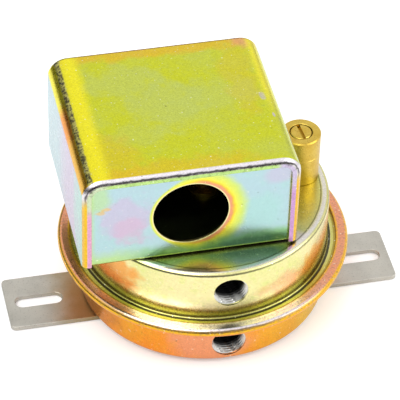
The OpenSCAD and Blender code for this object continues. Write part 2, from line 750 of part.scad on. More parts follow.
module normally_open_terminal() color(brass) {
    top_terminal(contact_x, open_contact_z + contact_h, -1, terminal_pad_xs[0]);
    translate([contact_x, 0, open_contact_z]) cylinder(r = contact_r + 0.2, h = contact_h);
}

module normally_closed_terminal() color(brass)
    difference() {
        union() {
            translate([case_left_x - strip_t, -strip_w / 2, closed_contact_z - contact_h - strip_t])
                cube([contact_x - case_left_x + strip_t + contact_r, strip_w, strip_t]);
            translate([case_left_x - strip_t, -strip_w / 2, closed_contact_z - contact_h - strip_t])
                cube([strip_t, strip_w, side_screw_z + 3 - closed_contact_z + contact_h]);
            translate([contact_x, 0, closed_contact_z - contact_h])
                cylinder(r = contact_r + 0.2, h = contact_h);
        }
        translate([case_left_x - strip_t - cut, 0, side_screw_z]) rotate([0, 90, 0])
            cylinder(r = terminal_screw_r, h = strip_t + cut);
    }

// Slotted screw standing on Z, its head's underside at 0 and its shank below
module slotted_screw(r, head_r, head_h, shank) {
    difference() {
        union() {
            translate([0, 0, -shank]) cylinder(r = r, h = shank);
            cylinder(r = head_r, h = head_h);
        }
        translate([-head_r - cut, -0.4, head_h / 2]) cube([2 * (head_r + cut), 0.8, head_h]);
    }
}

module terminal_screws() color(steel) {
    for (x = terminal_pad_xs) translate([x, 0, pad_z + strip_t])
        slotted_screw(terminal_screw_r, terminal_head_r, terminal_head_h, strip_t + 1.2);
    translate([case_left_x - strip_t, 0, side_screw_z]) rotate([0, -90, 0])
        slotted_screw(terminal_screw_r, terminal_head_r, terminal_head_h, strip_t + 1);
}

module switch_screws() color(steel)
    for (x = case_screw_xs) translate([x, case_front_y, case_screw_z]) rotate([90, 0, 0])
        slotted_screw(case_screw_r, case_screw_r + 1.4, 2, case_w + bracket_t + 3);

module switch_nuts() color(steel)
    for (x = case_screw_xs) translate([x, bracket_back_y, case_screw_z]) rotate([-90, 0, 0])
        difference() {
            hexagon(5.5, 2.4);
            translate([0, 0, -cut]) cylinder(r = case_screw_r, h = 2.4 + 2 * cut);
        }

module ground_screw() color("green")
    translate([ground_x, ground_y, floor_top_z]) {
        difference() {
            union() {
                cylinder(r = 4, h = 0.8);
                translate([0, 0, 0.8]) hexagon(6, 1.8);
            }
            translate([-4, -0.4, 1.8]) cube([8, 0.8, 1]);
        }
        translate([0, 0, -base_t]) cylinder(r = rivet_r, h = base_t);
    }

mounting_strap();
strap_rivets();
lower_housing();
upper_housing();
high_port_boss();
low_port_boss();
diaphragm();
diaphragm_plate_lower();
diaphragm_plate_upper();
diaphragm_stud();
stud_nut();
range_lever();
fulcrum_bracket();
fulcrum_pin();
fulcrum_rivets();
plunger_pin();
guide_bushing();
adjuster_barrel();
barrel_locknut();
adjusting_screw();
spring_follower();
range_spring();
enclosure_base();
front_panel();
base_rivets();
switch_cover();
cover_liner();
cover_screw();
switch_bracket();
bracket_rivets();
switch_case();
switch_case_lid();
switch_button();
snap_blade();
common_terminal();
normally_open_terminal();
normally_closed_terminal();
terminal_screws();
switch_screws();
switch_nuts();
ground_screw();
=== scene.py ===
"""Looks of a differential air pressure switch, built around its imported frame.

Two crimped steel pans carry a sheet steel enclosure and a brass range adjuster, and stand on a
slotted strap. Lengths are metres in the frame's own axes; finishes are worked out in millimetres.
"""

import logging
import math
from dataclasses import dataclass, replace
from enum import Enum
from typing import Iterable, Optional, Sequence, Union

import bmesh
import bpy
from mathutils import Matrix, Vector


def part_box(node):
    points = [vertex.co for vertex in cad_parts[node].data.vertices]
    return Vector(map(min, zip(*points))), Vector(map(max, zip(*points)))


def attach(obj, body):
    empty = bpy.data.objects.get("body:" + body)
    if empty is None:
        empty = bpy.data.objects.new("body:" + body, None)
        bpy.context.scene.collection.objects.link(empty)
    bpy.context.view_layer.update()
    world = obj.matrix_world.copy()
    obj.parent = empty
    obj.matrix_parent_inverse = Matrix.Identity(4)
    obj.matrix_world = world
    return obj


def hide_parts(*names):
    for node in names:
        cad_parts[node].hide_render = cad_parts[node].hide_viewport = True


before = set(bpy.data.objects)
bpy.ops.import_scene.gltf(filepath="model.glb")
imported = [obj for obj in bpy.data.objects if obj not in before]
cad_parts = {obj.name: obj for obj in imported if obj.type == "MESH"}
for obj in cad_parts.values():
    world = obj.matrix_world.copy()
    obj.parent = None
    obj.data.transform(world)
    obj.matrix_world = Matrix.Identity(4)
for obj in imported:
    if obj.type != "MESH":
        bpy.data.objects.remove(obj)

log = logging.getLogger("pressure_switch")
MM = 0.001
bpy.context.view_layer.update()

Colour = tuple[float, float, float]
Point = tuple[float, float]


def ink(red: int, green: int, blue: int) -> Colour:
    """Turns a colour as it shows on a display, 0 to 255, into linear light.

    Args:
        red: Red channel.
        green: Green channel.
        blue: Blue channel.

    Returns:
        The linear colour.
    """
    def linear(value: int) -> float:
        """Linear light of one channel."""
        share = value / 255
        return share / 12.92 if share <= 0.04045 else ((share + 0.055) / 1.055) ** 2.4
    return (linear(red), linear(green), linear(blue))


class Chromate(Enum):
    """Tints of the chromate film, as they show in daylight, with a near-white for painted
    highlights and a near-black for painted shade.
    """

    LIME = ink(204, 210, 44)
    LIME_PALE = ink(206, 226, 110)
    OLIVE = ink(150, 146, 52)
    OLIVE_LIGHT = ink(206, 200, 110)
    BRONZE = ink(168, 150, 62)
    MOSS = ink(140, 152, 92)
    STRAW = ink(240, 230, 168)
    SAGE = ink(194, 206, 104)
    MIST = ink(200, 214, 178)
    PISTACHIO = ink(184, 218, 132)
    LEMON = ink(248, 236, 40)
    AMBER = ink(236, 180, 40)
    GOLD = ink(240, 196, 36)
    ORANGE = ink(240, 152, 44)
    RUST = ink(176, 112, 44)
    SALMON = ink(230, 156, 120)
    ROSE = ink(220, 162, 192)
    VIOLET = ink(196, 152, 200)
    LILAC = ink(198, 186, 212)
    SKY = ink(178, 206, 214)
    AQUA = ink(168, 214, 206)
    LEAF = ink(128, 186, 104)
    TEAL = ink(74, 116, 88)
    SLATE = ink(140, 154, 158)
    # painted highlight colour, not a film tint
    PAINTED_HIGHLIGHT = ink(228, 222, 228)
    SMOKE = ink(122, 108, 112)
    GRAPHITE = ink(92, 86, 60)
    # painted shade colour, not a film tint
    SHADE = ink(44, 40, 26)


# ---------------------------------------------------------------- shader maths


class Field:
    """A socket of a node tree that takes part in arithmetic."""

    def __init__(self, nodes: "NodeTree", socket: bpy.types.NodeSocket) -> None:
        """Wraps a socket of the given tree."""
        self.nodes = nodes
        self.socket = socket

    def _math(self, operation: str, *values: "Value") -> "Field":
        """Adds a Math node on the given values."""
        return self.nodes.node("Math", {"operation": operation}, dict(enumerate(values)))

    def __add__(self, other: "Value") -> "Field":
        """Sum."""
        return self._math("ADD", self, other)

    __radd__ = __add__

    def __sub__(self, other: "Value") -> "Field":
        """Difference."""
        return self._math("SUBTRACT", self, other)

    def __rsub__(self, other: "Value") -> "Field":
        """Difference from a number."""
        return self._math("SUBTRACT", other, self)

    def __mul__(self, other: "Value") -> "Field":
        """Product."""
        return self._math("MULTIPLY", self, other)

    __rmul__ = __mul__

    def __truediv__(self, other: "Value") -> "Field":
        """Quotient."""
        return self._math("DIVIDE", self, other)

    def __abs__(self) -> "Field":
        """Size without its sign."""
        return self._math("ABSOLUTE", self)

    def at_least(self, floor: float) -> "Field":
        """The value, or floor where it is lower."""
        return self._math("MAXIMUM", self, floor)

    def sine(self) -> "Field":
        """Sine of the value in radians."""
        return self._math("SINE", self)

    def hypot(self, other: "Field") -> "Field":
        """Length of the pair (self, other)."""
        return self._math("SQRT", self * self + other * other)

    def angle(self, other: "Field") -> "Field":
        """Angle of the point (other, self), in degrees."""
        return self._math("ARCTAN2", self, other) * (180 / math.pi)

    def ramp(self, start: float, end: float) -> "Field":
        """Smooth step from 0 at start to 1 at end.

        Args:
            start: Value where the step leaves 0.
            end: Value where the step reaches 1; it may lie below start.

        Returns:
            The step, between 0 and 1.
        """
        flip = end < start
        low, high = min(start, end), max(start, end)
        return self.nodes.node(
            "MapRange", {"interpolation_type": "SMOOTHSTEP"},
            {0: self, 1: low, 2: high, 3: 1.0 if flip else 0.0, 4: 0.0 if flip else 1.0})

    def band(self, low: float, high: float, soft: float) -> "Field":
        """1 between low and high, falling to 0 over soft on either side."""
        return self.ramp(low - soft, low + soft) * self.ramp(high + soft, high - soft)


Value = Union[Field, float]
Tint = Union[Field, Colour, Chromate]


class NodeTree:
    """Node tree of a material or of the world, and the one call that fills it."""

    def __init__(self, owner: Union[bpy.types.Material, bpy.types.World], output: str) -> None:
        """Empties the owner's tree and adds its output node.

        Args:
            owner: Material or world that has the tree.
            output: Type of the output node without its ShaderNode prefix.
        """
        owner.use_nodes = True
        self.tree = owner.node_tree
        self.tree.nodes.clear()
        self.output = self.tree.nodes.new("ShaderNode" + output)

    def node(self, kind: str, settings: dict, inputs: dict, output: Union[int, str] = 0) -> Field:
        """Adds a node.

        Args:
            kind: Node type without its ShaderNode prefix.
            settings: Attributes of the node, or the stops of a ramp, set before its sockets.
            inputs: Values, tints or fields by socket index or name.
            output: Index or name of the output wanted.

        Returns:
            The wanted output as a field.
        """
        made = self.tree.nodes.new("ShaderNode" + kind)
        for key, value in settings.items():
            if key == "stops":
                self._set_stops(made.color_ramp.elements, value)
            else:
                setattr(made, key, value)
        for key, value in inputs.items():
            socket = made.inputs[key]
            value = value.value if isinstance(value, Chromate) else value
            if isinstance(value, Field):
                self.tree.links.new(value.socket, socket)
            elif isinstance(value, tuple) and len(socket.default_value) == 4:
                socket.default_value = (*value, 1.0)
            else:
                socket.default_value = value
        return Field(self, made.outputs[output])

    def also(self, made: Field, output: int) -> Field:
        """Another output of the node that a field comes from."""
        return Field(self, made.socket.node.outputs[output])

    def close(self, shader: Field) -> None:
        """Leads a shader to the output node."""
        self.tree.links.new(shader.socket, self.output.inputs["Surface"])

    @staticmethod
    def _set_stops(elements: bpy.types.ColorRampElements, stops: Sequence[Point]) -> None:
        """Sets the grey stops of a ramp.

        Args:
            elements: The ramp's own stops, one at each end to begin with.
            stops: Place and grey level of each stop, in order.
        """
        elements[0].position, elements[1].position = stops[0][0], stops[-1][0]
        for place, _ in stops[1:-1]:
            elements.new(place)
        for element, (_, grey) in zip(elements, stops):
            element.color = (grey, grey, grey, 1.0)


class Surface(NodeTree):
    """The node tree of one material, with its coordinates in millimetres."""

    COAT_ROUGHNESS = 0.1

    def __init__(self, name: str) -> None:
        """Makes an empty material with its coordinates.

        Args:
            name: Name of the material.
        """
        self.material = bpy.data.materials.new(name)
        super().__init__(self.material, "OutputMaterial")
        place = self.node("TexCoord", {}, {}, output="Object")
        self.place = self.node("VectorMath", {"operation": "SCALE"}, {0: place, 3: 1 / MM})
        self.x = self.node("SeparateXYZ", {}, {0: self.place})
        self.y = self.also(self.x, 1)
        self.z = self.also(self.x, 2)

    def _vector(self, operation: str, first: Field, second: Union[Field, tuple]) -> Field:
        """Adds a Vector Math node on two vectors."""
        return self.node("VectorMath", {"operation": operation}, {0: first, 1: second})

    def noise(self, size: float, detail: float = 2.0, stretch: Sequence[float] = (1, 1, 1),
              seed: float = 0.0) -> Field:
        """Noise between 0 and 1.

        Args:
            size: Width of one cloud in millimetres.
            detail: Octaves of finer noise.
            stretch: How much longer a cloud is along each axis.
            seed: Shift that tells one noise from another.

        Returns:
            The noise as a field.
        """
        place = self._vector("DIVIDE", self.place, tuple(stretch))
        shifted = self._vector("ADD", place, (seed, -seed, 2 * seed))
        return self.node("TexNoise", {}, {"Vector": shifted, "Scale": 1 / size, "Detail": detail})

    def fray(self, size: float, seed: float, reach: float = 1.0, detail: float = 3.0) -> Field:
        """Noise about 0 that roughens a border, from -reach / 2 to reach / 2."""
        return (self.noise(size, detail, seed=seed) - 0.5) * reach

    def cells(self, size: float, seed: float = 0.0) -> Field:
        """Random grey in small cells, for crystals of plating.

        Args:
            size: Width of one cell in millimetres.
            seed: Shift that tells one set from another.

        Returns:
            A grey between 0 and 1 for each cell.
        """
        shifted = self._vector("ADD", self.place, (seed, seed, seed))
        cell = self.node("TexVoronoi", {}, {"Vector": shifted, "Scale": 1 / size}, output="Color")
        return self.node("SeparateColor", {}, {0: cell})

    def mix(self, mask: Value, under: Tint, over: Tint) -> Field:
        """Lays one colour over another.

        Args:
            mask: How much of the upper colour shows.
            under: Lower colour.
            over: Upper colour.

        Returns:
            The mixed colour.
        """
        return self.node("Mix", {"data_type": "RGBA"}, {0: mask, 6: under, 7: over}, output=2)

    def cloud(self, centre: Sequence[float], size: Sequence[float], rough: Field,
              ragged: float = 0.35) -> Field:
        """Soft-edged ellipsoid with a ragged border.

        Args:
            centre: Its middle in millimetres.
            size: Its half sizes in millimetres.
            rough: Noise that frays the border.
            ragged: How far the border frays, as a share of the size.

        Returns:
            1 inside, 0 outside.
        """
        moved = self._vector("SUBTRACT", self.place, tuple(centre))
        scaled = self._vector("DIVIDE", moved, tuple(size))
        far = self.node("VectorMath", {"operation": "LENGTH"}, {0: scaled}, output="Value")
        return (far + (rough - 0.5) * (2 * ragged)).ramp(1.15, 0.55)

    def finish(self, colour: Tint, metallic: float, roughness: Value,
               height: Optional[Field] = None, depth: float = 0.02,
               coat: float = 0.0) -> bpy.types.Material:
        """Closes the tree with a Principled shader.

        Args:
            colour: Base colour.
            metallic: 0 or 1, the same all over.
            roughness: Roughness.
            height: Height for the bump, if any.
            depth: Full depth of that height in millimetres.
            coat: Weight of the clear coat.

        Returns:
            The finished material.
        """
        inputs = {"Base Color": colour, "Metallic": metallic, "Roughness": roughness,
                  "Coat Weight": coat, "Coat Roughness": self.COAT_ROUGHNESS}
        if height is not None:
            inputs["Normal"] = self.node("Bump", {}, {
                "Strength": 1.0, "Distance": depth * MM, "Height": height})
        self.close(self.node("BsdfPrincipled", {}, inputs))
        return self.material


# ---------------------------------------------------------------- finishes


@dataclass(frozen=True)
class Patch:
    """A cloud of one tint on a plated surface, in millimetres."""

    tint: Chromate
    centre: tuple[float, float, float]
    size: tuple[float, float, float]
    strength: float = 1.0
    ragged: float = 0.35


@dataclass(frozen=True)
class Stripe:
    """A stripe of one tint between two values of some coordinate."""

    tint: Chromate
    low: float
    high: float
    soft: float = 1.0
    strength: float = 1.0


@dataclass(frozen=True)
class Zinc:
    """Yellow chromated zinc plate: clouds of film tints, fine crystals, painted glints and small
    scars.
    """

    name: str
    ground: Chromate
    patches: tuple[Patch, ...] = ()
    roughness: float = 0.3
    grain: float = 0.10
    coat: float = 0.3
    drift: Chromate = Chromate.SAGE

    def paint(self, surface: Surface) -> Field:
        """Lays the clouds over the ground tint, in order.

        Args:
            surface: Surface being painted.

        Returns:
            The painted colour.
        """
        fray = surface.noise(5.0, 4.0)
        drift = surface.noise(16.0, 5.0, seed=3.0)
        mottle = surface.noise(2.2, 3.0, seed=13.0)
        ground = drift.ramp(0.42, 0.72) * 0.4 + mottle.ramp(0.5, 0.75) * 0.3
        colour = surface.mix(ground, self.ground, self.drift)
        for patch in self.patches:
            mask = surface.cloud(patch.centre, patch.size, fray, patch.ragged) * patch.strength
            colour = surface.mix(mask, colour, patch.tint)
        return colour

    def stripes(self, surface: Surface, colour: Field, across: Field, bands: Sequence[Stripe],
                mask: Value = 1.0) -> Field:
        """Lays stripes over a colour.

        Args:
            surface: Surface being painted.
            colour: Colour underneath.
            across: Coordinate that crosses the stripes.
            bands: Stripes, in order.
            mask: Where the stripes show.

        Returns:
            The striped colour.
        """
        for band in bands:
            share = across.band(band.low, band.high, band.soft) * band.strength * mask
            colour = surface.mix(share, colour, band.tint)
        return colour

    def specks_and_glints(self, surface: Surface, colour: Field) -> Field:
        """Varies a colour's brightness with its crystals, adds painted glints as bright specks, and
        dark pits.

        Args:
            surface: Surface being painted.
            colour: Colour underneath.

        Returns:
            The painted colour.
        """
        crystals = surface.cells(0.34) - 0.5
        fine = surface.noise(0.6, 2.0, seed=9.0) - 0.5
        level = crystals * (self.grain * 1.2) + fine * (self.grain * 3) + 1.0
        colour = surface.node("VectorMath", {"operation": "SCALE"}, {0: colour, 3: level})
        # painted glints: bright specks that stand in for light catching the crystals
        glints = surface.noise(0.8, 1.0, seed=31.0).ramp(0.70, 0.78)
        colour = surface.mix(glints * 0.6, colour, (1.0, 1.0, 0.8))
        pits = surface.noise(1.1, 1.0, seed=17.0).ramp(0.76, 0.82)
        return surface.mix(pits * 0.6, colour, Chromate.GRAPHITE)

    def material(self) -> bpy.types.Material:
        """Builds the material.

        Returns:
            The finished material.
        """
        surface = Surface(self.name)
        colour = self.specks_and_glints(surface, self.paint(surface))
        height = surface.noise(0.4, 2.0, seed=5.0) + surface.noise(9.0, 1.0, seed=6.0) * 4
        rough = surface.noise(3.0, 3.0, seed=7.0) * 0.14 + (self.roughness - 0.07)
        return surface.finish(colour, 1.0, rough, height, 0.01, self.coat)


@dataclass(frozen=True)
class CoverZinc(Zinc):
    """Plate of the cover, whose streaks follow its bends. Lengths in millimetres."""

    left: float = 0.0
    right: float = 0.0
    front: float = 0.0
    top: float = 0.0
    bend: float = 6.0
    front_bend: float = 2.0
    flange: float = 2.8

    def paint(self, surface: Surface) -> Field:
        """Lays the sides' tints and the bends' stripes, painted highlights and painted dark lines
        among them, over the clouds of the top.

        Args:
            surface: Surface being painted.

        Returns:
            The painted colour.
        """
        colour = Zinc.paint(self, surface)
        colour = self._sides(surface, colour)
        colour = self._left_bend(surface, colour)
        return self._front(surface, colour)

    def _sides(self, surface: Surface, colour: Field) -> Field:
        """Pale blue to lilac on the left side, lemon on the right bend.

        Args:
            surface: Surface being painted.
            colour: Colour underneath.

        Returns:
            The painted colour.
        """
        fray = surface.fray(9.0, 41.0, 16)
        left = surface.x.ramp(self.left + 1.0, self.left + 0.3)
        side = surface.mix((surface.y + fray).ramp(14, -6), Chromate.SKY, Chromate.LILAC)
        side = surface.mix((surface.y + fray).ramp(-14, -24), side, Chromate.AQUA)
        colour = surface.mix(left, colour, side)
        edge = surface.x.band(self.right - 4.2, self.right - 1.2, 1.2) * surface.y.ramp(-12, 6)
        colour = surface.mix(edge * 0.9, colour, Chromate.LEMON)
        right = surface.x.ramp(self.right - 1.4, self.right - 0.3)
        return surface.mix(right, colour, Chromate.MIST)

    def _left_bend(self, surface: Surface, colour: Field) -> Field:
        """Lemon, a speckled painted dark reflection line, then yellow and orange, from the top to
        the left side.

        Args:
            surface: Surface being painted.
            colour: Colour underneath.

        Returns:
            The painted colour.
        """
        up = surface.z - (self.top - self.bend)
        across = surface.x - (self.left + self.bend)
        turn = up.angle(across) + surface.fray(1.6, 21.0, 8)
        near = surface.x.ramp(self.left + self.bend + 1.5, self.left + self.bend + 0.5)
        lemon = surface.x.band(self.left + self.bend - 3.4, self.left + self.bend + 2.2, 1.8)
        colour = surface.mix(lemon * surface.z.ramp(self.top - 3, self.top - 2) * 0.85, colour,
                             Chromate.LEMON)
        below = surface.mix(surface.y.ramp(12, 4), Chromate.LEMON, Chromate.ORANGE)
        below = surface.mix(surface.y.ramp(-2, -9), below, Chromate.AMBER)
        colour = surface.mix(turn.band(133, 168, 4) * near, colour, below)
        # painted dark reflection: a speckled olive-dark line along the bend
        speckle = surface.noise(0.9, 2.0, seed=51.0).ramp(0.38, 0.62)
        dark = surface.mix(speckle, Chromate.GRAPHITE, Chromate.OLIVE_LIGHT)
        return surface.mix(turn.band(116, 132, 2.5) * near, colour, dark)

    def _front(self, surface: Surface, colour: Field) -> Field:
        """Painted white highlight on the bend with a painted dark reflection line under it, over a
        flange of green, lilac and orange.

        Args:
            surface: Surface being painted.
            colour: Colour underneath.

        Returns:
            The painted colour.
        """
        edge = self.front + self.front_bend
        face = surface.y.ramp(self.front + 0.12, self.front + 0.04)
        low = surface.z.ramp(self.top - 8, self.top - 14)
        flange = surface.mix(low, Chromate.MIST, Chromate.ROSE)
        right = surface.mix(low, Chromate.LILAC, Chromate.VIOLET)
        flange = surface.mix(surface.x.ramp(self.right - 8, self.right - 6), flange, right)
        middle = surface.x.band(self.left + 7, self.right - 7, 1.5)
        flange = surface.mix(middle, flange, Chromate.PISTACHIO)
        colour = surface.mix(face, colour, flange)
        bend = surface.y.ramp(edge - 0.6, edge - 0.9) * (1 - face)
        deep = surface.y + surface.fray(1.2, 61.0, 0.5, 2.0)
        top_or_corner = surface.z.ramp(self.top - self.bend - 4, self.top - self.bend + 1)
        # painted highlight along the front bend on the top
        colour = surface.mix(bend * top_or_corner, colour, Chromate.PAINTED_HIGHLIGHT)
        # painted dark reflection line just below that highlight
        line = deep.band(self.front + 0.12, self.front + 0.40, 0.12) * top_or_corner * 0.85
        colour = surface.mix(line, colour, Chromate.SHADE)
        sides = bend * (1 - top_or_corner)
        return surface.mix(sides * 0.85, colour, Chromate.AMBER)


@dataclass(frozen=True)
class PanelZinc(Zinc):
    """Plate of the front panel: haloes round its hole, a green foot, and painted shade under its
    foot, at its right edge and on its back.
    """

    hole: tuple[float, float, float] = (0.0, 0.0, 0.0)
    foot: float = 0.0
    face: float = 0.0
    left: float = 0.0
    right: float = 0.0

    def paint(self, surface: Surface) -> Field:
        """Lays the foot, the haloes and the edges over the clouds, with painted shade at the right
        edge and behind the front face.

        Args:
            surface: Surface being painted.

        Returns:
            The painted colour.
        """
        colour = Zinc.paint(self, surface)
        colour = self._halo(surface, colour)
        colour = self._foot(surface, colour)
        edge = surface.x.ramp(self.left + 3.4, self.left + 0.8)
        colour = surface.mix(edge * 0.8, colour, Chromate.PISTACHIO)
        # painted shade: the dark gap beside the panel's right edge
        gap_shade = surface.x.ramp(self.right - 0.8, self.right - 0.5)
        colour = surface.mix(gap_shade, colour, Chromate.SHADE)
        # painted shade: darkens the sheet behind the front face
        inside = surface.y.ramp(self.face + 0.3, self.face + 0.8)
        return surface.mix(inside * 0.75, colour, Chromate.SHADE)

    def _foot(self, surface: Surface, colour: Field) -> Field:
        """Green, then dark teal, then a light line at the bottom edge, with a painted shadow line
        below it.

        Args:
            surface: Surface being painted.
            colour: Colour underneath.

        Returns:
            The painted colour.
        """
        high = surface.z + surface.fray(2.5, 71.0, 2.4)
        here = surface.x.ramp(self.left + 8, self.left + 22)
        above = high - surface.x.ramp(-8, 12) * 1.8 + surface.x.band(-16, -4, 6) * 1.2
        green = above.ramp(self.foot + 6.4, self.foot + 2.4) * here * 0.8
        colour = surface.mix(green, colour, Chromate.LEAF)
        dark = above.ramp(self.foot + 3.4, self.foot + 1.0) * here * 0.65
        colour = surface.mix(dark, colour, Chromate.TEAL)
        plain = (1 - here) * high.ramp(self.foot + 7, self.foot + 1)
        colour = surface.mix(plain * 0.9, colour, Chromate.PISTACHIO)
        rim = surface.z.ramp(self.foot + 1.4, self.foot + 1.1)
        colour = surface.mix(rim, colour, Chromate.PISTACHIO)
        # painted shadow: the dark gap between the panel's foot and the pan's roof
        shade = surface.z.ramp(self.foot + 0.75, self.foot + 0.5) * here
        return surface.mix(shade, colour, Chromate.SHADE)

    def _halo(self, surface: Surface, colour: Field) -> Field:
        """Rings of tint round the hole: wide on the right, a thin line on the left.

        Args:
            surface: Surface being painted.
            colour: Colour underneath.

        Returns:
            The painted colour.
        """
        x, z, radius = self.hole
        across, up = surface.x - x, surface.z - z
        fray = surface.fray(3.0, 81.0, 1.6)
        out = across.hypot(up) - radius
        side = across.ramp(-9, 9)
        span = side * 4.0 + 1.0
        share = (out + fray * side) / span
        outer = surface.mix(share.ramp(0.2, 0.95), Chromate.LEMON, Chromate.LIME_PALE)
        colour = surface.mix(share.ramp(1.35, 0.75) * 0.95, colour, outer)
        inner = surface.mix(share.ramp(0.12, 0.45), Chromate.SALMON, Chromate.AMBER)
        lively = across.ramp(-4, 5) * share.ramp(0.5, 0.2)
        colour = surface.mix(lively, colour, inner)
        return surface.mix(out.ramp(0.5, 0.2), colour, Chromate.STRAW)


@dataclass(frozen=True)
class PanZinc(Zinc):
    """Plate of a pan: rings of tint, painted highlights and painted shade about the vertical axis
    over the clouds.
    """

    rings: tuple[Stripe, ...] = ()
    # painted highlight and painted shade lines, only where the rim faces the front
    front_light_and_shade_rings: tuple[Stripe, ...] = ()
    levels: tuple[Stripe, ...] = ()
    # painted highlight between painted dark lines on the shoulder
    shoulder_light_and_shade: tuple[Stripe, ...] = ()
    shoulder_low: float = 35.2
    ring_low: float = 0.0
    wall: float = 37.5
    speckle: float = 0.0

    def paint(self, surface: Surface) -> Field:
        """Lays stripes by height on the wall, painted highlight and shade on the shoulder, then
        rings by radius on the rim.

        Args:
            surface: Surface being painted.

        Returns:
            The painted colour.
        """
        colour = Zinc.paint(self, surface)
        fray = surface.fray(2.2, 91.0)
        out = surface.x.hypot(surface.y)
        on_wall = out.band(self.wall - 3.2, self.wall + 0.6, 0.2)
        colour = self.stripes(surface, colour, surface.z + fray * 0.5, self.levels, on_wall)
        # shoulder: painted highlight with painted dark lines either side
        high = surface.z.ramp(self.shoulder_low, self.shoulder_low + 0.4)
        colour = self.stripes(surface, colour, out + fray * 0.15, self.shoulder_light_and_shade, high)
        raised = surface.z.band(self.ring_low - 0.1, self.shoulder_low - 2, 0.1)
        colour = self.stripes(surface, colour, out + fray * 0.2, self.rings, raised)
        # front of the rim only: painted highlight and painted shade lines
        facing = abs(surface.x + 4).ramp(38, 18) * surface.y.ramp(0, -6)
        colour = self.stripes(surface, colour, out + fray * 0.3, self.front_light_and_shade_rings, raised * facing)
        speckle = surface.noise(0.75, 3.0, seed=95.0).ramp(0.5, 0.66) * raised * self.speckle
        return surface.mix(speckle, colour, Chromate.SMOKE)


@dataclass(frozen=True)
class Steel:
    """Plain or dull plated steel with fine scratches and specks."""

    name: str
    tint: Colour = ink(196, 196, 192)
    roughness: float = 0.34
    specks: float = 0.25

    def paint(self, surface: Surface) -> Field:
        """Grey plate with faint clouds and specks.

        Args:
            surface: Surface being painted.

        Returns:
            The painted colour.
        """
        cloud = surface.noise(7.0, 3.0)
        dark = tuple(channel * 0.72 for channel in self.tint)
        colour = surface.mix(cloud.ramp(0.3, 0.75) * 0.5, self.tint, dark)
        speck = surface.noise(0.5, 2.0, seed=4.0).ramp(0.58, 0.72)
        return surface.mix(speck * self.specks, colour, (0.12, 0.11, 0.10))

    def material(self) -> bpy.types.Material:
        """Builds the material.

        Returns:
            The finished material.
        """
        surface = Surface(self.name)
        scratches = surface.noise(0.35, 2.0, (14, 1, 1), 2.0) + surface.noise(0.5, 2.0, seed=8.0)
        rough = surface.noise(2.5, 3.0, seed=6.0) * 0.2 + (self.roughness - 0.1)
        return surface.finish(self.paint(surface), 1.0, rough, scratches, 0.01)


@dataclass(frozen=True)
class ThreadSteel(Steel):
    """Thread of a port, bright at its mouth and darkened with painted shade further into the bore.
    """

    mouth: float = -36.0

    def paint(self, surface: Surface) -> Field:
        """Darkens the steel behind the mouth with painted shade."""
        # painted shade: near-black deeper in the bore
        inward = surface.y.ramp(self.mouth, self.mouth + 3.4)
        return surface.mix(inward, Steel.paint(self, surface), (0.006, 0.006, 0.006))


@dataclass(frozen=True)
class StrapSteel(Steel):
    """Dull strap, browner and darker where it runs under the pan's left side."""

    brown_x: float = -40.0

    def paint(self, surface: Surface) -> Field:
        """Adds the brown patch to the plain steel.

        Args:
            surface: Surface being painted.

        Returns:
            The painted colour.
        """
        colour = Steel.paint(self, surface)
        fray = surface.fray(5.0, 12.0, 9)
        brown_patch = (surface.x + fray).ramp(self.brown_x - 11, self.brown_x + 3)
        brown_patch = brown_patch * surface.x.ramp(0, -20)
        return surface.mix(brown_patch * 0.75, colour, ink(158, 138, 84))


@dataclass(frozen=True)
class Brass:
    """Turned brass with fine lathe rings about a vertical axis."""

    name: str
    axis_x: float
    axis_y: float
    tint: Colour = ink(216, 186, 86)
    roughness: float = 0.3
    rings: float = 38.0

    def material(self) -> bpy.types.Material:
        """Builds the material.

        Returns:
            The finished material.
        """
        surface = Surface(self.name)
        out = (surface.x - self.axis_x).hypot(surface.y - self.axis_y)
        rings = ((surface.z + out) * self.rings).sine()
        cloud = surface.noise(3.0, 3.0)
        colour = surface.mix(cloud.ramp(0.35, 0.7) * 0.45, self.tint, ink(196, 154, 44))
        speck = surface.noise(0.35, 2.0, seed=3.0).ramp(0.56, 0.7)
        colour = surface.mix(speck * 0.4, colour, ink(120, 80, 16))
        height = rings * 0.5 + surface.noise(0.3, 2.0, seed=8.0)
        rough = surface.noise(1.5, 2.0, seed=6.0) * 0.16 + (self.roughness - 0.08)
        return surface.finish(colour, 1.0, rough, height, 0.008)


@dataclass(frozen=True)
class Moulded:
    """Moulded plastic, rubber, paper or enamel: a matt surface with a fine texture."""

    name: str
    tint: Colour
    roughness: float = 0.5
    texture: float = 0.6
    depth: float = 0.02

    def material(self) -> bpy.types.Material:
        """Builds the material.

        Returns:
            The finished material.
        """
        surface = Surface(self.name)
        cloud = surface.noise(4.0, 3.0)
        pale = tuple(min(1.0, channel * 1.35 + 0.004) for channel in self.tint)
        colour = surface.mix(cloud.ramp(0.35, 0.75) * 0.6, self.tint, pale)
        rough = surface.noise(1.2, 2.0, seed=3.0) * 0.2 + (self.roughness - 0.1)
        return surface.finish(colour, 0.0, rough, surface.noise(self.texture, 3.0), self.depth)


# ---------------------------------------------------------------- mesh making


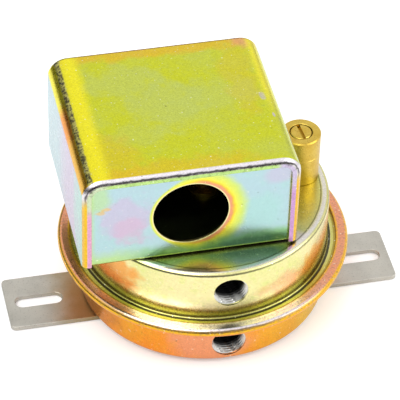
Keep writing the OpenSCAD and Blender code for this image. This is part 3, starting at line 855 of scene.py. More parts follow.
def new_piece(name: str, bm: bmesh.types.BMesh, material: bpy.types.Material,
              smooth_angle: float = 32.0) -> bpy.types.Object:
    """Turns a bmesh into a shaded object.

    Args:
        name: Name of the piece.
        bm: Its mesh, which is freed.
        material: Its finish.
        smooth_angle: Edges sharper than this stay sharp, in degrees.

    Returns:
        The object, linked to the scene.
    """
    bmesh.ops.remove_doubles(bm, verts=bm.verts, dist=1e-7)
    bmesh.ops.recalc_face_normals(bm, faces=bm.faces)
    mesh = bpy.data.meshes.new(name)
    bm.to_mesh(mesh)
    bm.free()
    mesh.materials.append(material)
    mesh.polygons.foreach_set("use_smooth", [True] * len(mesh.polygons))
    mesh.set_sharp_from_angle(angle=math.radians(smooth_angle))
    piece = bpy.data.objects.new(name, mesh)
    bpy.context.scene.collection.objects.link(piece)
    return piece


def arc(centre: Point, radius: float, start: float, end: float, steps: int = 10) -> list[Point]:
    """Points along an arc, from one angle in degrees to another.

    Args:
        centre: Centre of the arc.
        radius: Its radius.
        start: First angle in degrees.
        end: Last angle in degrees.
        steps: Number of chords.

    Returns:
        The points, both ends included.
    """
    cx, cy = centre
    angles = [math.radians(start + (end - start) * i / steps) for i in range(steps + 1)]
    return [(cx + radius * math.cos(a), cy + radius * math.sin(a)) for a in angles]


def upright_ring(centre: Vector, y: float, radii: Sequence[float]) -> list[Vector]:
    """Ring of points about an axis along Y.

    Args:
        centre: Point on the axis.
        y: Place of the ring along the axis.
        radii: Distance from the axis of each point, which sets how many there are.

    Returns:
        The points, from +X towards +Z.
    """
    turns = [2 * math.pi * i / len(radii) for i in range(len(radii))]
    return [Vector((centre.x + r * math.cos(a), y, centre.z + r * math.sin(a)))
            for r, a in zip(radii, turns)]


def skin(bm: bmesh.types.BMesh, rows: Sequence[Sequence[Vector]], close_rows: bool = False,
         close_columns: bool = False) -> list[list[bmesh.types.BMVert]]:
    """Joins rows of points into quads.

    Args:
        bm: Mesh that takes the faces.
        rows: Rows of points, all of one length.
        close_rows: Whether the last row joins the first.
        close_columns: Whether each row is a closed ring.

    Returns:
        The vertices, row by row.
    """
    verts = [[bm.verts.new(point) for point in row] for row in rows]
    count = len(rows[0])
    for i in range(len(rows) if close_rows else len(rows) - 1):
        upper, lower = verts[i], verts[(i + 1) % len(rows)]
        for j in range(count if close_columns else count - 1):
            k = (j + 1) % count
            bm.faces.new((upper[j], upper[k], lower[k], lower[j]))
    return verts


def lathe(bm: bmesh.types.BMesh, outline: Sequence[Point], centre: Point = (0.0, 0.0),
          steps: int = 160) -> None:
    """Turns a closed outline of radius and height about a vertical axis.

    Args:
        bm: Mesh that takes the faces.
        outline: Closed outline, as radius and height.
        centre: Place of the axis.
        steps: Sections round the axis.
    """
    rows = []
    for i in range(steps):
        turn = 2 * math.pi * i / steps
        rows.append([Vector((centre[0] + r * math.cos(turn), centre[1] + r * math.sin(turn), z))
                     for r, z in outline])
    skin(bm, rows, close_rows=True, close_columns=True)


def bevel(piece: bpy.types.Object, width: float, angle: float = 35.0, segments: int = 2) -> None:
    """Breaks the sharp edges of a piece with a small round.

    Args:
        piece: Piece to bevel.
        width: Width of the round.
        angle: Edges sharper than this are broken, in degrees.
        segments: Faces across the round.
    """
    modifier = piece.modifiers.new("broken_edges", "BEVEL")
    modifier.width = width
    modifier.segments = segments
    modifier.limit_method = "ANGLE"
    modifier.angle_limit = math.radians(angle)
    weighted = piece.modifiers.new("flat_faces", "WEIGHTED_NORMAL")
    weighted.keep_sharp = True


def thicken(piece: bpy.types.Object, sheet: float) -> None:
    """Gives a skin the thickness of its sheet, inward.

    Args:
        piece: Piece made of one skin.
        sheet: Thickness of the sheet.
    """
    modifier = piece.modifiers.new("sheet", "SOLIDIFY")
    modifier.thickness = sheet
    modifier.offset = -1.0
    modifier.use_even_offset = True


def drill(piece: bpy.types.Object, cutter: bmesh.types.BMesh) -> None:
    """Cuts a closed mesh out of a piece for good.

    Args:
        piece: Piece to cut.
        cutter: Closed mesh, which is freed.
    """
    mesh = bpy.data.meshes.new("cutter")
    cutter.to_mesh(mesh)
    cutter.free()
    tool = bpy.data.objects.new("cutter", mesh)
    bpy.context.scene.collection.objects.link(tool)
    modifier = piece.modifiers.new("drill", "BOOLEAN")
    modifier.operation = "DIFFERENCE"
    modifier.solver = "EXACT"
    modifier.object = tool
    bpy.context.view_layer.update()
    graph = bpy.context.evaluated_depsgraph_get()
    cut = bpy.data.meshes.new_from_object(piece.evaluated_get(graph))
    piece.modifiers.remove(modifier)
    old = piece.data
    piece.data = cut
    bpy.data.meshes.remove(old)
    bpy.data.objects.remove(tool)
    bpy.data.meshes.remove(mesh)


def rod(radius: float, start: Vector, end: Vector, steps: int = 64) -> bmesh.types.BMesh:
    """Closed round rod between two points.

    Args:
        radius: Radius of the rod.
        start: Middle of one end.
        end: Middle of the other end.
        steps: Sides of the rod.

    Returns:
        The rod.
    """
    bm = bmesh.new()
    along = end - start
    frame_of_rod = along.to_track_quat("Z", "Y").to_matrix().to_4x4()
    place = Matrix.Translation((start + end) / 2) @ frame_of_rod
    bmesh.ops.create_cone(bm, cap_ends=True, segments=steps, radius1=radius, radius2=radius,
                          depth=along.length, matrix=place)
    return bm


def adopt(piece: bpy.types.Object, body: str, nodes: Iterable[str]) -> None:
    """Lets a piece ride on a body and stand for nodes, and reports it.

    Args:
        piece: Piece that was built.
        body: Body that it moves with.
        nodes: Nodes that it stands for.
    """
    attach(piece, body)
    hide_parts(*nodes)
    log.info("%s rides on %s for %s", piece.name, body, ", ".join(nodes))


def dress(node: str, material: bpy.types.Material, width: float = 0.1 * MM) -> None:
    """Gives a node of the frame its finish and breaks its edges.

    Args:
        node: Name of the node.
        material: Its finish.
        width: Width of its broken edges; 0 leaves them sharp.
    """
    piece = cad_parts[node]
    piece.data.materials.clear()
    piece.data.materials.append(material)
    if width:
        bevel(piece, width, 40.0)
    log.info("%s dressed", node)


# ---------------------------------------------------------------- sub-assemblies


@dataclass
class Strap:
    """Flat mounting strap with a slot near each end."""

    corner: float = 1.6 * MM
    slot_spacing: float = 100 * MM
    slot_length: float = 14.4 * MM
    slot_width: float = 4.6 * MM
    edge: float = 0.25 * MM

    def build(self) -> None:
        """Builds the strap as a plate with two slots and rounded edges."""
        low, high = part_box("mounting_strap")
        middle = (low + high) / 2
        half_x, half_y = (high.x - low.x) / 2, (high.y - low.y) / 2
        outline: list[Point] = []
        for sx, sy, start in ((1, 1, 0), (-1, 1, 90), (-1, -1, 180), (1, -1, 270)):
            corner = (sx * (half_x - self.corner), sy * (half_y - self.corner))
            outline += arc(corner, self.corner, start, start + 90, 6)
        bm = bmesh.new()
        face = bm.faces.new([bm.verts.new((middle.x + x, middle.y + y, low.z)) for x, y in outline])
        raised = bmesh.ops.extrude_face_region(bm, geom=[face])
        top = [v for v in raised["geom"] if isinstance(v, bmesh.types.BMVert)]
        bmesh.ops.translate(bm, verts=top, vec=(0, 0, high.z - low.z))
        steel = StrapSteel("dull_strap_steel", ink(200, 196, 186), 0.42, 0.35)
        piece = new_piece("strap_plate", bm, steel.material())
        for side in (-1, 1):
            place = middle.x + side * self.slot_spacing / 2
            drill(piece, self._slot(place, middle.y, low.z, high.z))
        bevel(piece, self.edge, 40.0, 3)
        adopt(piece, "housing", ["mounting_strap"])
        dress("strap_rivets", Steel("rivet_steel").material())

    def _slot(self, x: float, y: float, low: float, high: float) -> bmesh.types.BMesh:
        """Closed cutter in the shape of one slot.

        Args:
            x: Place of the slot's middle.
            y: Place of the slot's middle.
            low: Underside of the strap.
            high: Top of the strap.

        Returns:
            The cutter.
        """
        reach = (self.slot_length - self.slot_width) / 2
        radius = self.slot_width / 2
        outline = arc((x + reach, y), radius, -90, 90, 14)
        outline += arc((x - reach, y), radius, 90, 270, 14)
        bm = bmesh.new()
        rows = [[Vector((px, py, z)) for px, py in outline] for z in (low - MM, high + MM)]
        rings = skin(bm, rows, close_columns=True)
        bm.faces.new(rings[0])
        bm.faces.new(rings[1])
        bmesh.ops.recalc_face_normals(bm, faces=bm.faces)
        return bm


@dataclass
class Pans:
    """Lower pan with its rolled rim, and the upper pan held in it."""

    wall: float = 37.5 * MM
    sheet: float = 0.8 * MM
    bend: float = 1.6 * MM
    foot: float = 0.8 * MM
    lip: float = 3.8 * MM
    diaphragm: float = 0.4 * MM
    port_hole: float = 5.15 * MM

    def __post_init__(self) -> None:
        """Reads the heights and the rim from the frame."""
        self.low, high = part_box("lower_housing")
        self.rim = high.x
        self.rim_top = high.z
        upper_low, upper_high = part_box("upper_housing")
        self.flange_end = upper_high.x
        self.flange_z = upper_low.z
        self.roof = upper_high.z

    def build(self) -> None:
        """Builds both pans and drills their ports."""
        self._lower()
        self._upper()

    def _port(self, boss: str) -> bmesh.types.BMesh:
        """Cutter along Y for the port in front of a boss.

        Args:
            boss: Node of the port's boss.

        Returns:
            The cutter.
        """
        low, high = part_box(boss)
        middle = (low + high) / 2
        return rod(self.port_hole, Vector((middle.x, -self.wall - 2 * MM, middle.z)),
                   Vector((middle.x, low.y + 4 * MM, middle.z)), 72)

    def _turn(self, outline: Sequence[Point], which: str, plate: PanZinc, boss: str) -> None:
        """Turns one pan, drills its port and breaks its edges.

        Args:
            outline: Closed section of the pan, as radius and height.
            which: lower or upper.
            plate: Its finish.
            boss: Node of the port's boss.
        """
        bm = bmesh.new()
        lathe(bm, outline, steps=224)
        piece = new_piece(which + "_pan", bm, plate.material(), 40)
        drill(piece, self._port(boss))
        bevel(piece, 0.12 * MM, 50)
        adopt(piece, "housing", [which + "_housing"])

    def _lower(self) -> None:
        """Outlines the lower pan with its rolled rim, from the floor's middle outward."""
        floor, t, bend, foot = self.low.z, self.sheet, self.bend, self.foot
        under = self.flange_z - self.diaphragm - t
        roll_out = (self.rim_top - under) / 2
        mid_z = (self.rim_top + under) / 2
        mid_r = self.rim - roll_out
        inner, lip_round = self.rim - self.lip, 0.25 * MM
        outline = [(0.0, floor)]
        outline += arc((self.wall - bend, floor + bend), bend, -90, 0, 8)
        outline += arc((self.wall + foot, under - foot), foot, 180, 90, 6)
        outline += arc((mid_r, mid_z), roll_out, -90, 90, 18)
        outline += arc((inner + lip_round, self.rim_top - lip_round), lip_round, 90, 180, 4)
        outline += [(inner, self.rim_top - t)]
        outline += arc((mid_r, mid_z), roll_out - t, 90, -90, 10)
        outline += arc((self.wall + foot, under - foot), foot + t, 90, 180, 8)
        outline += arc((self.wall - bend, floor + bend), bend - t, 0, -90, 6)
        outline += [(0.0, floor + t)]
        self._turn(outline, "lower", LOWER_PAN, "high_port_boss")

    def _upper(self) -> None:
        """Outlines the upper pan, whose flange lies inside the rim."""
        roof, t, bend, foot = self.roof, self.sheet, self.bend, self.foot
        flange_top = self.flange_z + t
        outline = [(0.0, roof)]
        outline += arc((self.wall - bend, roof - bend), bend, 90, 0, 12)
        outline += arc((self.wall + foot, flange_top + foot), foot, 180, 270, 8)
        outline += [(self.flange_end, flange_top), (self.flange_end, self.flange_z)]
        outline += arc((self.wall + foot, flange_top + foot), foot + t, 270, 180, 8)
        outline += arc((self.wall - bend, roof - bend), bend - t, 0, 90, 6)
        outline += [(0.0, roof - t)]
        self._turn(outline, "upper", UPPER_PAN, "low_port_boss")


@dataclass
class PortThread:
    """Threaded boss behind one port."""

    node: str
    crest: float = 4.65 * MM
    depth: float = 0.7 * MM
    pitch: float = 0.94 * MM
    front: float = -36.9 * MM
    turns_per_step: int = 8

    def build(self, material: bpy.types.Material) -> None:
        """Builds the boss with a cut thread in its bore.

        Args:
            material: Finish of the thread.
        """
        low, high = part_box(self.node)
        middle = (low + high) / 2
        outer = (high.z - low.z) / 2
        back = high.y
        steps = 72
        count = int((back - self.front) / self.pitch * self.turns_per_step)
        rows = []
        for i in range(count + 1):
            y = self.front + (back - self.front) * i / count
            phases = [((y - self.front) / self.pitch + j / steps) % 1.0 for j in range(steps)]
            radii = [self.crest + self.depth * (1 - abs(2 * phase - 1)) for phase in phases]
            rows.append(upright_ring(middle, y, radii))
        rows += [upright_ring(middle, y, [outer] * steps) for y in (back, self.front)]
        bm = bmesh.new()
        skin(bm, rows, close_rows=True, close_columns=True)
        piece = new_piece(self.node.replace("boss", "thread"), bm, material, 25)
        adopt(piece, "housing", [self.node])


@dataclass
class Cover:
    """Formed sheet cover: top, sides and back, with a narrow front flange."""

    sheet: float = 0.9 * MM
    bend: float = 6 * MM
    front_bend: float = 2 * MM
    flange: float = 2.8 * MM
    slot_half: float = 2.3 * MM

    def build(self) -> None:
        """Sweeps the wall's section round the cover's outline, closes the back and thickens it."""
        low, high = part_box("switch_cover")
        middle_x = (low.x + high.x) / 2
        half = (high.x - low.x) / 2
        height = high.z - low.z
        section = self._section(low.y, high.y)
        bm = bmesh.new()
        rows = []
        for inward, y in section:
            rows.append([Vector((middle_x + x, y, low.z + z))
                         for x, z in self._outline(half, height, inward)])
        rings = skin(bm, rows)
        self._back(bm, rings[0], middle_x, low.z)
        plate = replace(COVER_PLATE, left=low.x / MM, right=high.x / MM, front=low.y / MM,
                        top=high.z / MM)
        piece = new_piece("cover_shell", bm, plate.material(), 40)
        thicken(piece, self.sheet)
        bevel(piece, 0.12 * MM, 50)
        adopt(piece, "cover", ["switch_cover"])

    def _section(self, front: float, back: float) -> list[Point]:
        """Section of the wall from the back, over the side and round to the front flange.

        Args:
            front: Place of the front.
            back: Place of the back.

        Returns:
            Points of inward distance and Y.
        """
        r = self.front_bend
        rear = [(r - x, back - r + y) for x, y in arc((0, 0), r, 90, 0, 8)]
        fore = [(r - x, front + r + y) for x, y in arc((0, 0), r, 0, -90, 10)]
        return rear + fore + [(self.flange, front)]

    def _outline(self, half: float, height: float, inward: float) -> list[Point]:
        """Left side, top and right side, moved inward.

        Args:
            half: Half of the outer width.
            height: Outer height.
            inward: How far the outline lies inside the outer one.

        Returns:
            Points of X from the middle and height.
        """
        r = self.bend - inward
        left = arc((-half + self.bend, height - self.bend), r, 180, 90, 12)
        right = arc((half - self.bend, height - self.bend), r, 90, 0, 12)
        return [(-half + inward, 0.0)] + left + right + [(half - inward, 0.0)]

    def _back(self, bm: bmesh.types.BMesh, ring: Sequence[bmesh.types.BMVert], x: float,
              low: float) -> None:
        """Closes the back with one face that has the screw's slot, open at the bottom.

        Args:
            bm: Mesh that takes the face.
            ring: Vertices of the back edge.
            x: Middle of the cover.
            low: Lower edge of the cover.
        """
        screw_low, screw_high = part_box("cover_screw")
        screw_z = (screw_low.z + screw_high.z) / 2
        y = ring[0].co.y
        notch = [(x + self.slot_half, low)]
        notch += arc((x, screw_z), self.slot_half, 0, 180, 12)
        notch += [(x - self.slot_half, low)]
        bm.faces.new(list(ring) + [bm.verts.new((px, y, pz)) for px, pz in notch])


@dataclass
class Base:
    """Enclosure base: floor, front panel with the conduit hole and rear lug, one bent sheet."""

    sheet: float = 1.0 * MM
    conduit: float = 11.1 * MM
    conduit_height: float = 16.2 * MM
    corner: float = 4.8 * MM
    lug_width: float = 14 * MM
    lug_height: float = 13 * MM
    bend: float = 1.4 * MM

    def build(self) -> None:
        """Builds the panel, the floor and the lug, and pierces the panel."""
        low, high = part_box("front_panel")
        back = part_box("enclosure_base")[1].y
        middle_x = (low.x + high.x) / 2
        half = (high.x - low.x) / 2
        bm = bmesh.new()
        section = self._section(low, back)
        rows = [[Vector((middle_x + side * half, y, z)) for side in (-1, 1)] for y, z in section]
        skin(bm, rows)
        corner_x, corner_z, foot = half - self.corner, high.z - self.corner, section[0][1]
        outline = [(-half, foot)] + arc((-corner_x, corner_z), self.corner, 180, 90, 10)
        outline += arc((corner_x, corner_z), self.corner, 90, 0, 10) + [(half, foot)]
        hole = Vector((middle_x, low.y, low.z + self.conduit_height))
        self._panel(bm, outline, hole)
        bm.faces.new([bm.verts.new((middle_x + x * self.lug_width / 2, back,
                                    low.z + z * self.lug_height))
                      for x, z in ((-1, 0), (-1, 1), (1, 1), (1, 0))])
        plate = replace(PANEL_PLATE, left=low.x / MM, right=high.x / MM, face=low.y / MM,
                        foot=low.z / MM, hole=(hole.x / MM, hole.z / MM, self.conduit / MM))
        piece = new_piece("enclosure_plate", bm, plate.material(), 40)
        thicken(piece, self.sheet)
        bevel(piece, 0.1 * MM, 50)
        adopt(piece, "housing", ["enclosure_base", "front_panel"])

    def _section(self, low: Vector, back: float) -> list[Point]:
        """Bend from the panel's foot to the floor, then the floor to the lug.

        Args:
            low: Lowest corner of the panel.
            back: Place of the lug.

        Returns:
            Points of Y and height.
        """
        r = self.bend
        turn = arc((low.y + r, low.z + r), r, 180, 270, 8)
        return turn + [(back, low.z)]

    def _panel(self, bm: bmesh.types.BMesh, outline: Sequence[Point], hole: Vector) -> None:
        """Fills the panel between its outline and the conduit hole.

        Args:
            bm: Mesh that takes the faces.
            outline: Edge of the panel, as distance from the hole's axis and height.
            hole: Centre of the conduit hole.
        """
        circle = upright_ring(hole, hole.y, [self.conduit] * 96)
        edge = [Vector((hole.x + x, hole.y, z)) for x, z in outline]
        edges = []
        for points in (circle, edge):
            ring = [bm.verts.new(point) for point in points]
            edges += [bm.edges.new((ring[i], ring[(i + 1) % len(ring)])) for i in range(len(ring))]
        bmesh.ops.triangle_fill(bm, use_beauty=True, use_dissolve=False, edges=edges)


@dataclass
class Adjuster:
    """Brass barrel with the slotted range screw in its top."""

    ring_gap: float = 0.28 * MM
    chamfer: float = 0.35 * MM
    screw_radius: float = 3.2 * MM
    groove_height: float = 9.3 * MM
    groove_depth: float = 0.1 * MM
    neck_step: float = 0.7 * MM
    spring_bore: float = 4.2 * MM
    stem: float = 1.6 * MM
    pitch: float = 0.8 * MM
    thread_depth: float = 0.35 * MM
    collar: float = 4.0 * MM
    slot_turn: float = -85.6
    slot: float = 1.0 * MM
    slot_depth: float = 1.2 * MM
    head_depth: float = 3.0 * MM

    def __post_init__(self) -> None:
        """Reads the barrel's place from the frame."""
        self.low, self.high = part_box("adjuster_barrel")
        middle = (self.low + self.high) / 2
        self.centre = (middle.x, middle.y)
        self.radius = (self.high.x - self.low.x) / 2
        self.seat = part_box("upper_housing")[1].z

    def build(self) -> None:
        """Builds the barrel and its screw."""
        material = Brass("turned_brass", *(value / MM for value in self.centre)).material()
        top, r, c, g = self.high.z, self.radius, self.chamfer, self.groove_depth
        bore = self.screw_radius + self.ring_gap
        neck, spring_bore = r - self.neck_step, self.spring_bore
        groove = self.seat + self.groove_height
        outline = [(bore, top - 0.1 * MM), (bore + 0.15 * MM, top)]
        outline += [(r - c, top), (r, top - c), (r, groove + g), (r - g, groove), (r, groove - g)]
        outline += [(r, self.seat + 0.2 * MM), (r - 0.2 * MM, self.seat), (neck, self.seat)]
        outline += [(neck, self.low.z), (spring_bore, self.low.z)]
        outline += [(spring_bore, top - self.head_depth), (bore, top - self.head_depth)]
        bm = bmesh.new()
        lathe(bm, outline, self.centre, 96)
        piece = new_piece("barrel", bm, material, 25)
        adopt(piece, "housing", ["adjuster_barrel"])
        self._screw(material)

    def _screw(self, material: bpy.types.Material) -> None:
        """Builds the screw: slotted head, collar and threaded stem.

        Args:
            material: Finish of the screw.
        """
        low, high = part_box("adjusting_screw")
        top, head = high.z, self.screw_radius
        collar_top = top - self.head_depth
        outline = [(0.0, top), (head - 0.2 * MM, top), (head, top - 0.2 * MM), (head, collar_top)]
        stem, pitch = self.stem, self.pitch
        z = collar_top - 1.1 * MM
        outline += [(self.collar, collar_top - 0.1 * MM), (self.collar, z), (stem, z)]
        while z - pitch > low.z:
            outline += [(stem - self.thread_depth, z - pitch / 2), (stem, z - pitch)]
            z -= pitch
        outline += [(stem - 0.4 * MM, low.z), (0.0, low.z)]
        bm = bmesh.new()
        lathe(bm, outline, self.centre, 72)
        piece = new_piece("range_screw", bm, material, 25)
        cutter = bmesh.new()
        size = (2.2 * head, self.slot, 2 * self.slot_depth, 1.0)
        turn = Matrix.Rotation(math.radians(self.slot_turn), 4, "Z")
        place = Matrix.Translation((*self.centre, top)) @ turn @ Matrix.Diagonal(size)
        bmesh.ops.create_cube(cutter, size=1.0, matrix=place)
        drill(piece, cutter)
        bevel(piece, 0.06 * MM, 50)
        adopt(piece, "adjuster", ["adjusting_screw"])


@dataclass(frozen=True)
class Dressing:
    """One finish, the nodes that take it and the width of their broken edges."""

    finish: Union[Steel, Brass, Moulded]
    nodes: tuple[str, ...]
    edge: float = 0.1 * MM


@dataclass
class Workings:
    """Everything under the cover and between the pans: nodes of the frame with their finishes."""

    dressings: tuple[Dressing, ...] = (
        Dressing(Steel("bright_steel"), (
            "stud_nut", "diaphragm_stud", "range_lever", "fulcrum_bracket", "fulcrum_pin",
            "fulcrum_rivets", "spring_follower", "base_rivets", "cover_screw", "switch_bracket",
            "bracket_rivets", "terminal_screws", "switch_screws", "switch_nuts")),
        Dressing(Brass("contact_bronze", 0, 0, ink(150, 104, 62), 0.45), (
            "snap_blade", "common_terminal", "normally_open_terminal",
            "normally_closed_terminal"), 0.05 * MM),
        Dressing(Brass("bush_brass", 0, 0, ink(112, 88, 40), 0.5), (
            "guide_bushing", "barrel_locknut")),
        Dressing(Steel("pressed_aluminium", ink(214, 216, 218), 0.3, 0.1), (
            "diaphragm_plate_lower", "diaphragm_plate_upper")),
        Dressing(Steel("spring_wire", ink(168, 170, 176), 0.26, 0.1), ("range_spring",), 0),
        Dressing(Moulded("diaphragm_rubber", ink(38, 38, 38), 0.62), ("diaphragm",), 0),
        Dressing(Moulded("black_phenolic", ink(28, 27, 27), 0.42), ("switch_case",)),
        Dressing(Moulded("grey_phenolic", ink(70, 70, 72), 0.46), ("switch_case_lid",)),
        Dressing(Moulded("red_button", ink(176, 32, 26), 0.35), ("switch_button",)),
        Dressing(Moulded("nylon", ink(228, 222, 204), 0.4), ("plunger_pin",)),
        Dressing(Moulded("insulating_paper", ink(214, 204, 176), 0.8, 0.3), ("cover_liner",)),
        Dressing(Moulded("green_lacquer", ink(34, 128, 58), 0.3), ("ground_screw",)))

    def build(self) -> None:
        """Gives each node its finish."""
        for dressing in self.dressings:
            material = dressing.finish.material()
            for node in dressing.nodes:
                dress(node, material, dressing.edge)


# ---------------------------------------------------------------- plated finishes of this switch

LOWER_PAN = PanZinc(
    "lower_pan_plate", Chromate.ORANGE,
    (Patch(Chromate.AMBER, (22, -32, 7), (15, 14, 12), 0.8),
     Patch(Chromate.GOLD, (32, -20, 6), (15, 14, 14), 1.0),
     Patch(Chromate.SALMON, (-6, -37, 9), (15, 9, 9), 0.8),
     Patch(Chromate.RUST, (-36, -12, 8), (7, 16, 8), 0.45, 1.1)),
    0.26, 0.08, coat=0.2, drift=Chromate.AMBER,
    rings=(Stripe(Chromate.AMBER, 39.6, 44.2, 0.2), Stripe(Chromate.SALMON, 40.9, 43.2, 0.35),
           Stripe(Chromate.RUST, 39.9, 40.5, 0.15, 0.8)),
    # painted highlight on the front of the rim, with painted shade lines at its edges; lilac is a
    # tint
    front_light_and_shade_rings=(Stripe(Chromate.PAINTED_HIGHLIGHT, 40.6, 43.5, 0.4),
                 Stripe(Chromate.LILAC, 41.2, 42.0, 0.3, 0.6),
                 Stripe(Chromate.SHADE, 43.45, 43.75, 0.12, 0.75),
                 Stripe(Chromate.SHADE, 40.2, 40.5, 0.12, 0.6)),
    ring_low=18.6, speckle=0.35)

UPPER_PAN = PanZinc(
    "upper_pan_plate", Chromate.STRAW,
    (Patch(Chromate.AMBER, (30, -24, 25), (8, 14, 8), 0.8, 1.0),
     Patch(Chromate.SALMON, (16, -34, 26), (8, 7, 4), 0.45, 1.1),
     Patch(Chromate.ORANGE, (-31, -20, 29), (8, 11, 7), 0.8, 1.0),
     Patch(Chromate.MOSS, (4, -16, 38.5), (60, 34, 2.4), 1.0, 0.1),
     Patch(Chromate.SLATE, (6, -31, 37.5), (15, 4, 2.0), 0.8),
     Patch(Chromate.LILAC, (20, -26, 37.5), (6, 3, 2.0), 0.5),
     Patch(Chromate.OLIVE_LIGHT, (34, -4, 37.5), (9, 17, 2.4), 0.9)),
    0.26, 0.08, coat=0.25, drift=Chromate.LIME_PALE,
    # painted highlight on the shoulder between two painted dark lines
    shoulder_light_and_shade=(Stripe(Chromate.SHADE, 34.7, 35.1, 0.15, 0.6),
              Stripe(Chromate.PAINTED_HIGHLIGHT, 35.3, 36.6, 0.3, 0.7),
              Stripe(Chromate.SHADE, 37.15, 37.4, 0.1, 0.6)),
    # first ring: painted shade in the groove between wall and flange
    rings=(Stripe(Chromate.SHADE, 37.9, 38.7, 0.15, 0.95),
           Stripe(Chromate.OLIVE_LIGHT, 38.8, 39.5, 0.2),
           Stripe(Chromate.BRONZE, 39.5, 40.3, 0.2)),
    # olive band at the foot of the wall: painted darkening that stands in for the rim's reflection
    levels=(Stripe(Chromate.OLIVE, 18, 22.2, 1.6, 0.8),),
    ring_low=18.0)

PANEL_PLATE = PanelZinc(
    "panel_plate", Chromate.SKY,
    (Patch(Chromate.LILAC, (-29, -27, 54), (9, 6, 9), 0.75, 0.8),
     Patch(Chromate.ROSE, (-28, -27, 50), (5, 6, 6), 0.35, 0.9),
     Patch(Chromate.PISTACHIO, (-38, -27, 63), (5, 6, 6), 0.6),
     Patch(Chromate.AMBER, (-37, -27, 57.4), (1.8, 6, 0.8), 0.5, 1.6),
     Patch(Chromate.AMBER, (-35.4, -27, 58.6), (1.4, 6, 0.7), 0.5, 1.6),
     Patch(Chromate.LILAC, (16, -27, 64), (6, 6, 4), 0.6),
     Patch(Chromate.AQUA, (10, -27, 50), (9, 6, 8), 0.6)),
    0.24, 0.04, coat=0.15, drift=Chromate.AQUA)

COVER_PLATE = CoverZinc(
    "cover_plate", Chromate.LIME,
    (Patch(Chromate.SAGE, (-22, 14, 70), (13, 8, 5), 0.6, 1.0),
     Patch(Chromate.SAGE, (-12, 2, 70), (12, 12, 5), 0.6, 1.0),
     Patch(Chromate.SAGE, (4, 4, 70), (14, 8, 5), 0.55, 1.0),
     Patch(Chromate.SAGE, (-22, -10, 70), (10, 6, 5), 0.4, 1.0),
     Patch(Chromate.AMBER, (-34, -22, 70), (12, 15, 5), 0.3, 0.7),
     Patch(Chromate.AMBER, (-14, -27, 70), (26, 6, 5), 0.4, 0.8),
     Patch(Chromate.AMBER, (-10, 27.5, 70), (36, 4.5, 5), 0.6, 0.6),
     Patch(Chromate.SALMON, (-12, 29.2, 69), (34, 1.8, 5), 0.9),
     Patch(Chromate.SALMON, (17, 27, 69), (5, 4, 5), 0.7, 0.6),
     Patch(Chromate.AMBER, (12, 10, 70), (6, 20, 5), 0.2, 0.8),
     # painted glint: small white patch at the back-left corner of the bend
     Patch(Chromate.PAINTED_HIGHLIGHT, (-39.6, 27.6, 68.6), (1.4, 1.8, 1.6), 1.0, 0.6),
     Patch(Chromate.LILAC, (16.5, 0, 70), (0.9, 1.8, 3), 0.5, 1.6),
     Patch(Chromate.LILAC, (18, -8, 70), (0.5, 1.2, 3), 0.8, 0.9)),
    0.28, 0.12, coat=0.15)


# ---------------------------------------------------------------- studio


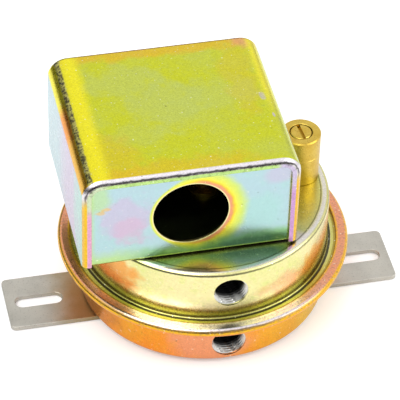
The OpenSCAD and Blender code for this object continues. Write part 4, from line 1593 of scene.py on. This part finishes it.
@dataclass
class Studio:
    """Pale floor, soft lamps and the camera."""

    target: tuple[float, float, float] = (0.0020, 0.0130, 0.020)
    turn: float = -13.73
    rise: float = 42.34
    roll: float = 1.97
    distance: float = 0.8196
    lens: float = 240.6
    floor_size: float = 0.7
    right_lift: float = 0.6
    levels: tuple[Point, ...] = ((0.0, 0.04), (0.22, 0.10), (0.42, 0.80), (0.60, 1.0), (1.0, 1.0))

    def build(self) -> None:
        """Builds the studio."""
        self._floor()
        self._world()
        self._lamp("key", (-0.55, -0.5, 1.1), 0.9, 9.0)
        self._lamp("fill", (0.9, -0.5, 0.7), 0.8, 4.0)
        self._camera()

    def _floor(self) -> None:
        """Pale floor that stays white to the eye and keeps the shadow."""
        size = self.floor_size / 2
        bm = bmesh.new()
        bm.faces.new([bm.verts.new((sx * size, sy * size, -0.0002))
                      for sx, sy in ((-1, -1), (1, -1), (1, 1), (-1, 1))])
        surface = Surface("pale_floor")
        paint = surface.node("BsdfDiffuse", {}, {"Color": (0.86, 0.86, 0.86)})
        glow = surface.node("Emission", {}, {"Color": (1.0, 1.0, 1.0), "Strength": 0.22})
        both = surface.node("AddShader", {}, {0: paint, 1: glow})
        seen = surface.node("LightPath", {}, {}, output="Is Camera Ray")
        mixed = surface.node("MixShader", {}, {0: seen, 1: paint, 2: both})
        surface.close(mixed)
        new_piece("floor", bm, surface.material)

    def _world(self) -> None:
        """White to the eye; for everything else bright above and dim near the horizon."""
        bpy.context.scene.world = bpy.data.worlds.new("studio")
        sky = NodeTree(bpy.context.scene.world, "OutputWorld")
        place = sky.node("TexCoord", {}, {}, output="Generated")
        right = sky.node("SeparateXYZ", {}, {0: place})
        height = right.at_least(0.0) * self.right_lift + sky.also(right, 2)
        level = sky.node("ValToRGB", {"stops": self.levels}, {0: height})
        soft = sky.node("Background", {}, {"Color": level, "Strength": 1.0})
        white = sky.node("Background", {}, {"Color": (1.0, 1.0, 1.0), "Strength": 1.0})
        seen = sky.node("LightPath", {}, {}, output="Is Camera Ray")
        sky.close(sky.node("MixShader", {}, {0: seen, 1: soft, 2: white}))

    def _lamp(self, name: str, place: Sequence[float], size: float, power: float) -> None:
        """Square soft lamp aimed at the switch.

        Args:
            name: Name of the lamp.
            place: Where it hangs.
            size: Length of its side.
            power: Its power in watts.
        """
        data = bpy.data.lights.new(name, "AREA")
        data.shape = "SQUARE"
        data.size = size
        data.energy = power
        lamp = bpy.data.objects.new(name, data)
        lamp.location = place
        aim = Vector((0, 0, 0.03)) - Vector(place)
        lamp.rotation_euler = aim.to_track_quat("-Z", "Y").to_euler()
        bpy.context.scene.collection.objects.link(lamp)

    def _camera(self) -> None:
        """Camera turned to the left of the front, looking down."""
        turn, rise, roll = (math.radians(a) for a in (self.turn, self.rise, self.roll))
        back = Vector((math.sin(turn) * math.cos(rise), -math.cos(turn) * math.cos(rise),
                       math.sin(rise)))
        right = (-back).cross(Vector((0, 0, 1))).normalized()
        up = right.cross(-back)
        side = right * math.cos(roll) + up * math.sin(roll)
        head = up * math.cos(roll) - right * math.sin(roll)
        data = bpy.data.cameras.new("camera")
        data.lens = self.lens
        data.sensor_width = 36.0
        data.clip_end = 20.0
        camera = bpy.data.objects.new("camera", data)
        pose = Matrix((side, head, back)).transposed().to_4x4()
        pose.translation = Vector(self.target) + back * self.distance
        camera.matrix_world = pose
        bpy.context.scene.collection.objects.link(camera)
        bpy.context.scene.camera = camera


def main() -> None:
    logging.basicConfig(level=logging.INFO, format="%(name)s: %(message)s")
    bpy.context.scene.view_settings.view_transform = "Standard"
    Studio().build()
    Strap().build()
    Pans().build()
    thread = ThreadSteel("port_thread_steel", ink(214, 214, 210), 0.26, 0.1).material()
    for node in ("high_port_boss", "low_port_boss"):
        PortThread(node).build(thread)
    Base().build()
    Cover().build()
    Adjuster().build()
    Workings().build()


if __name__ == "__main__":
    main()
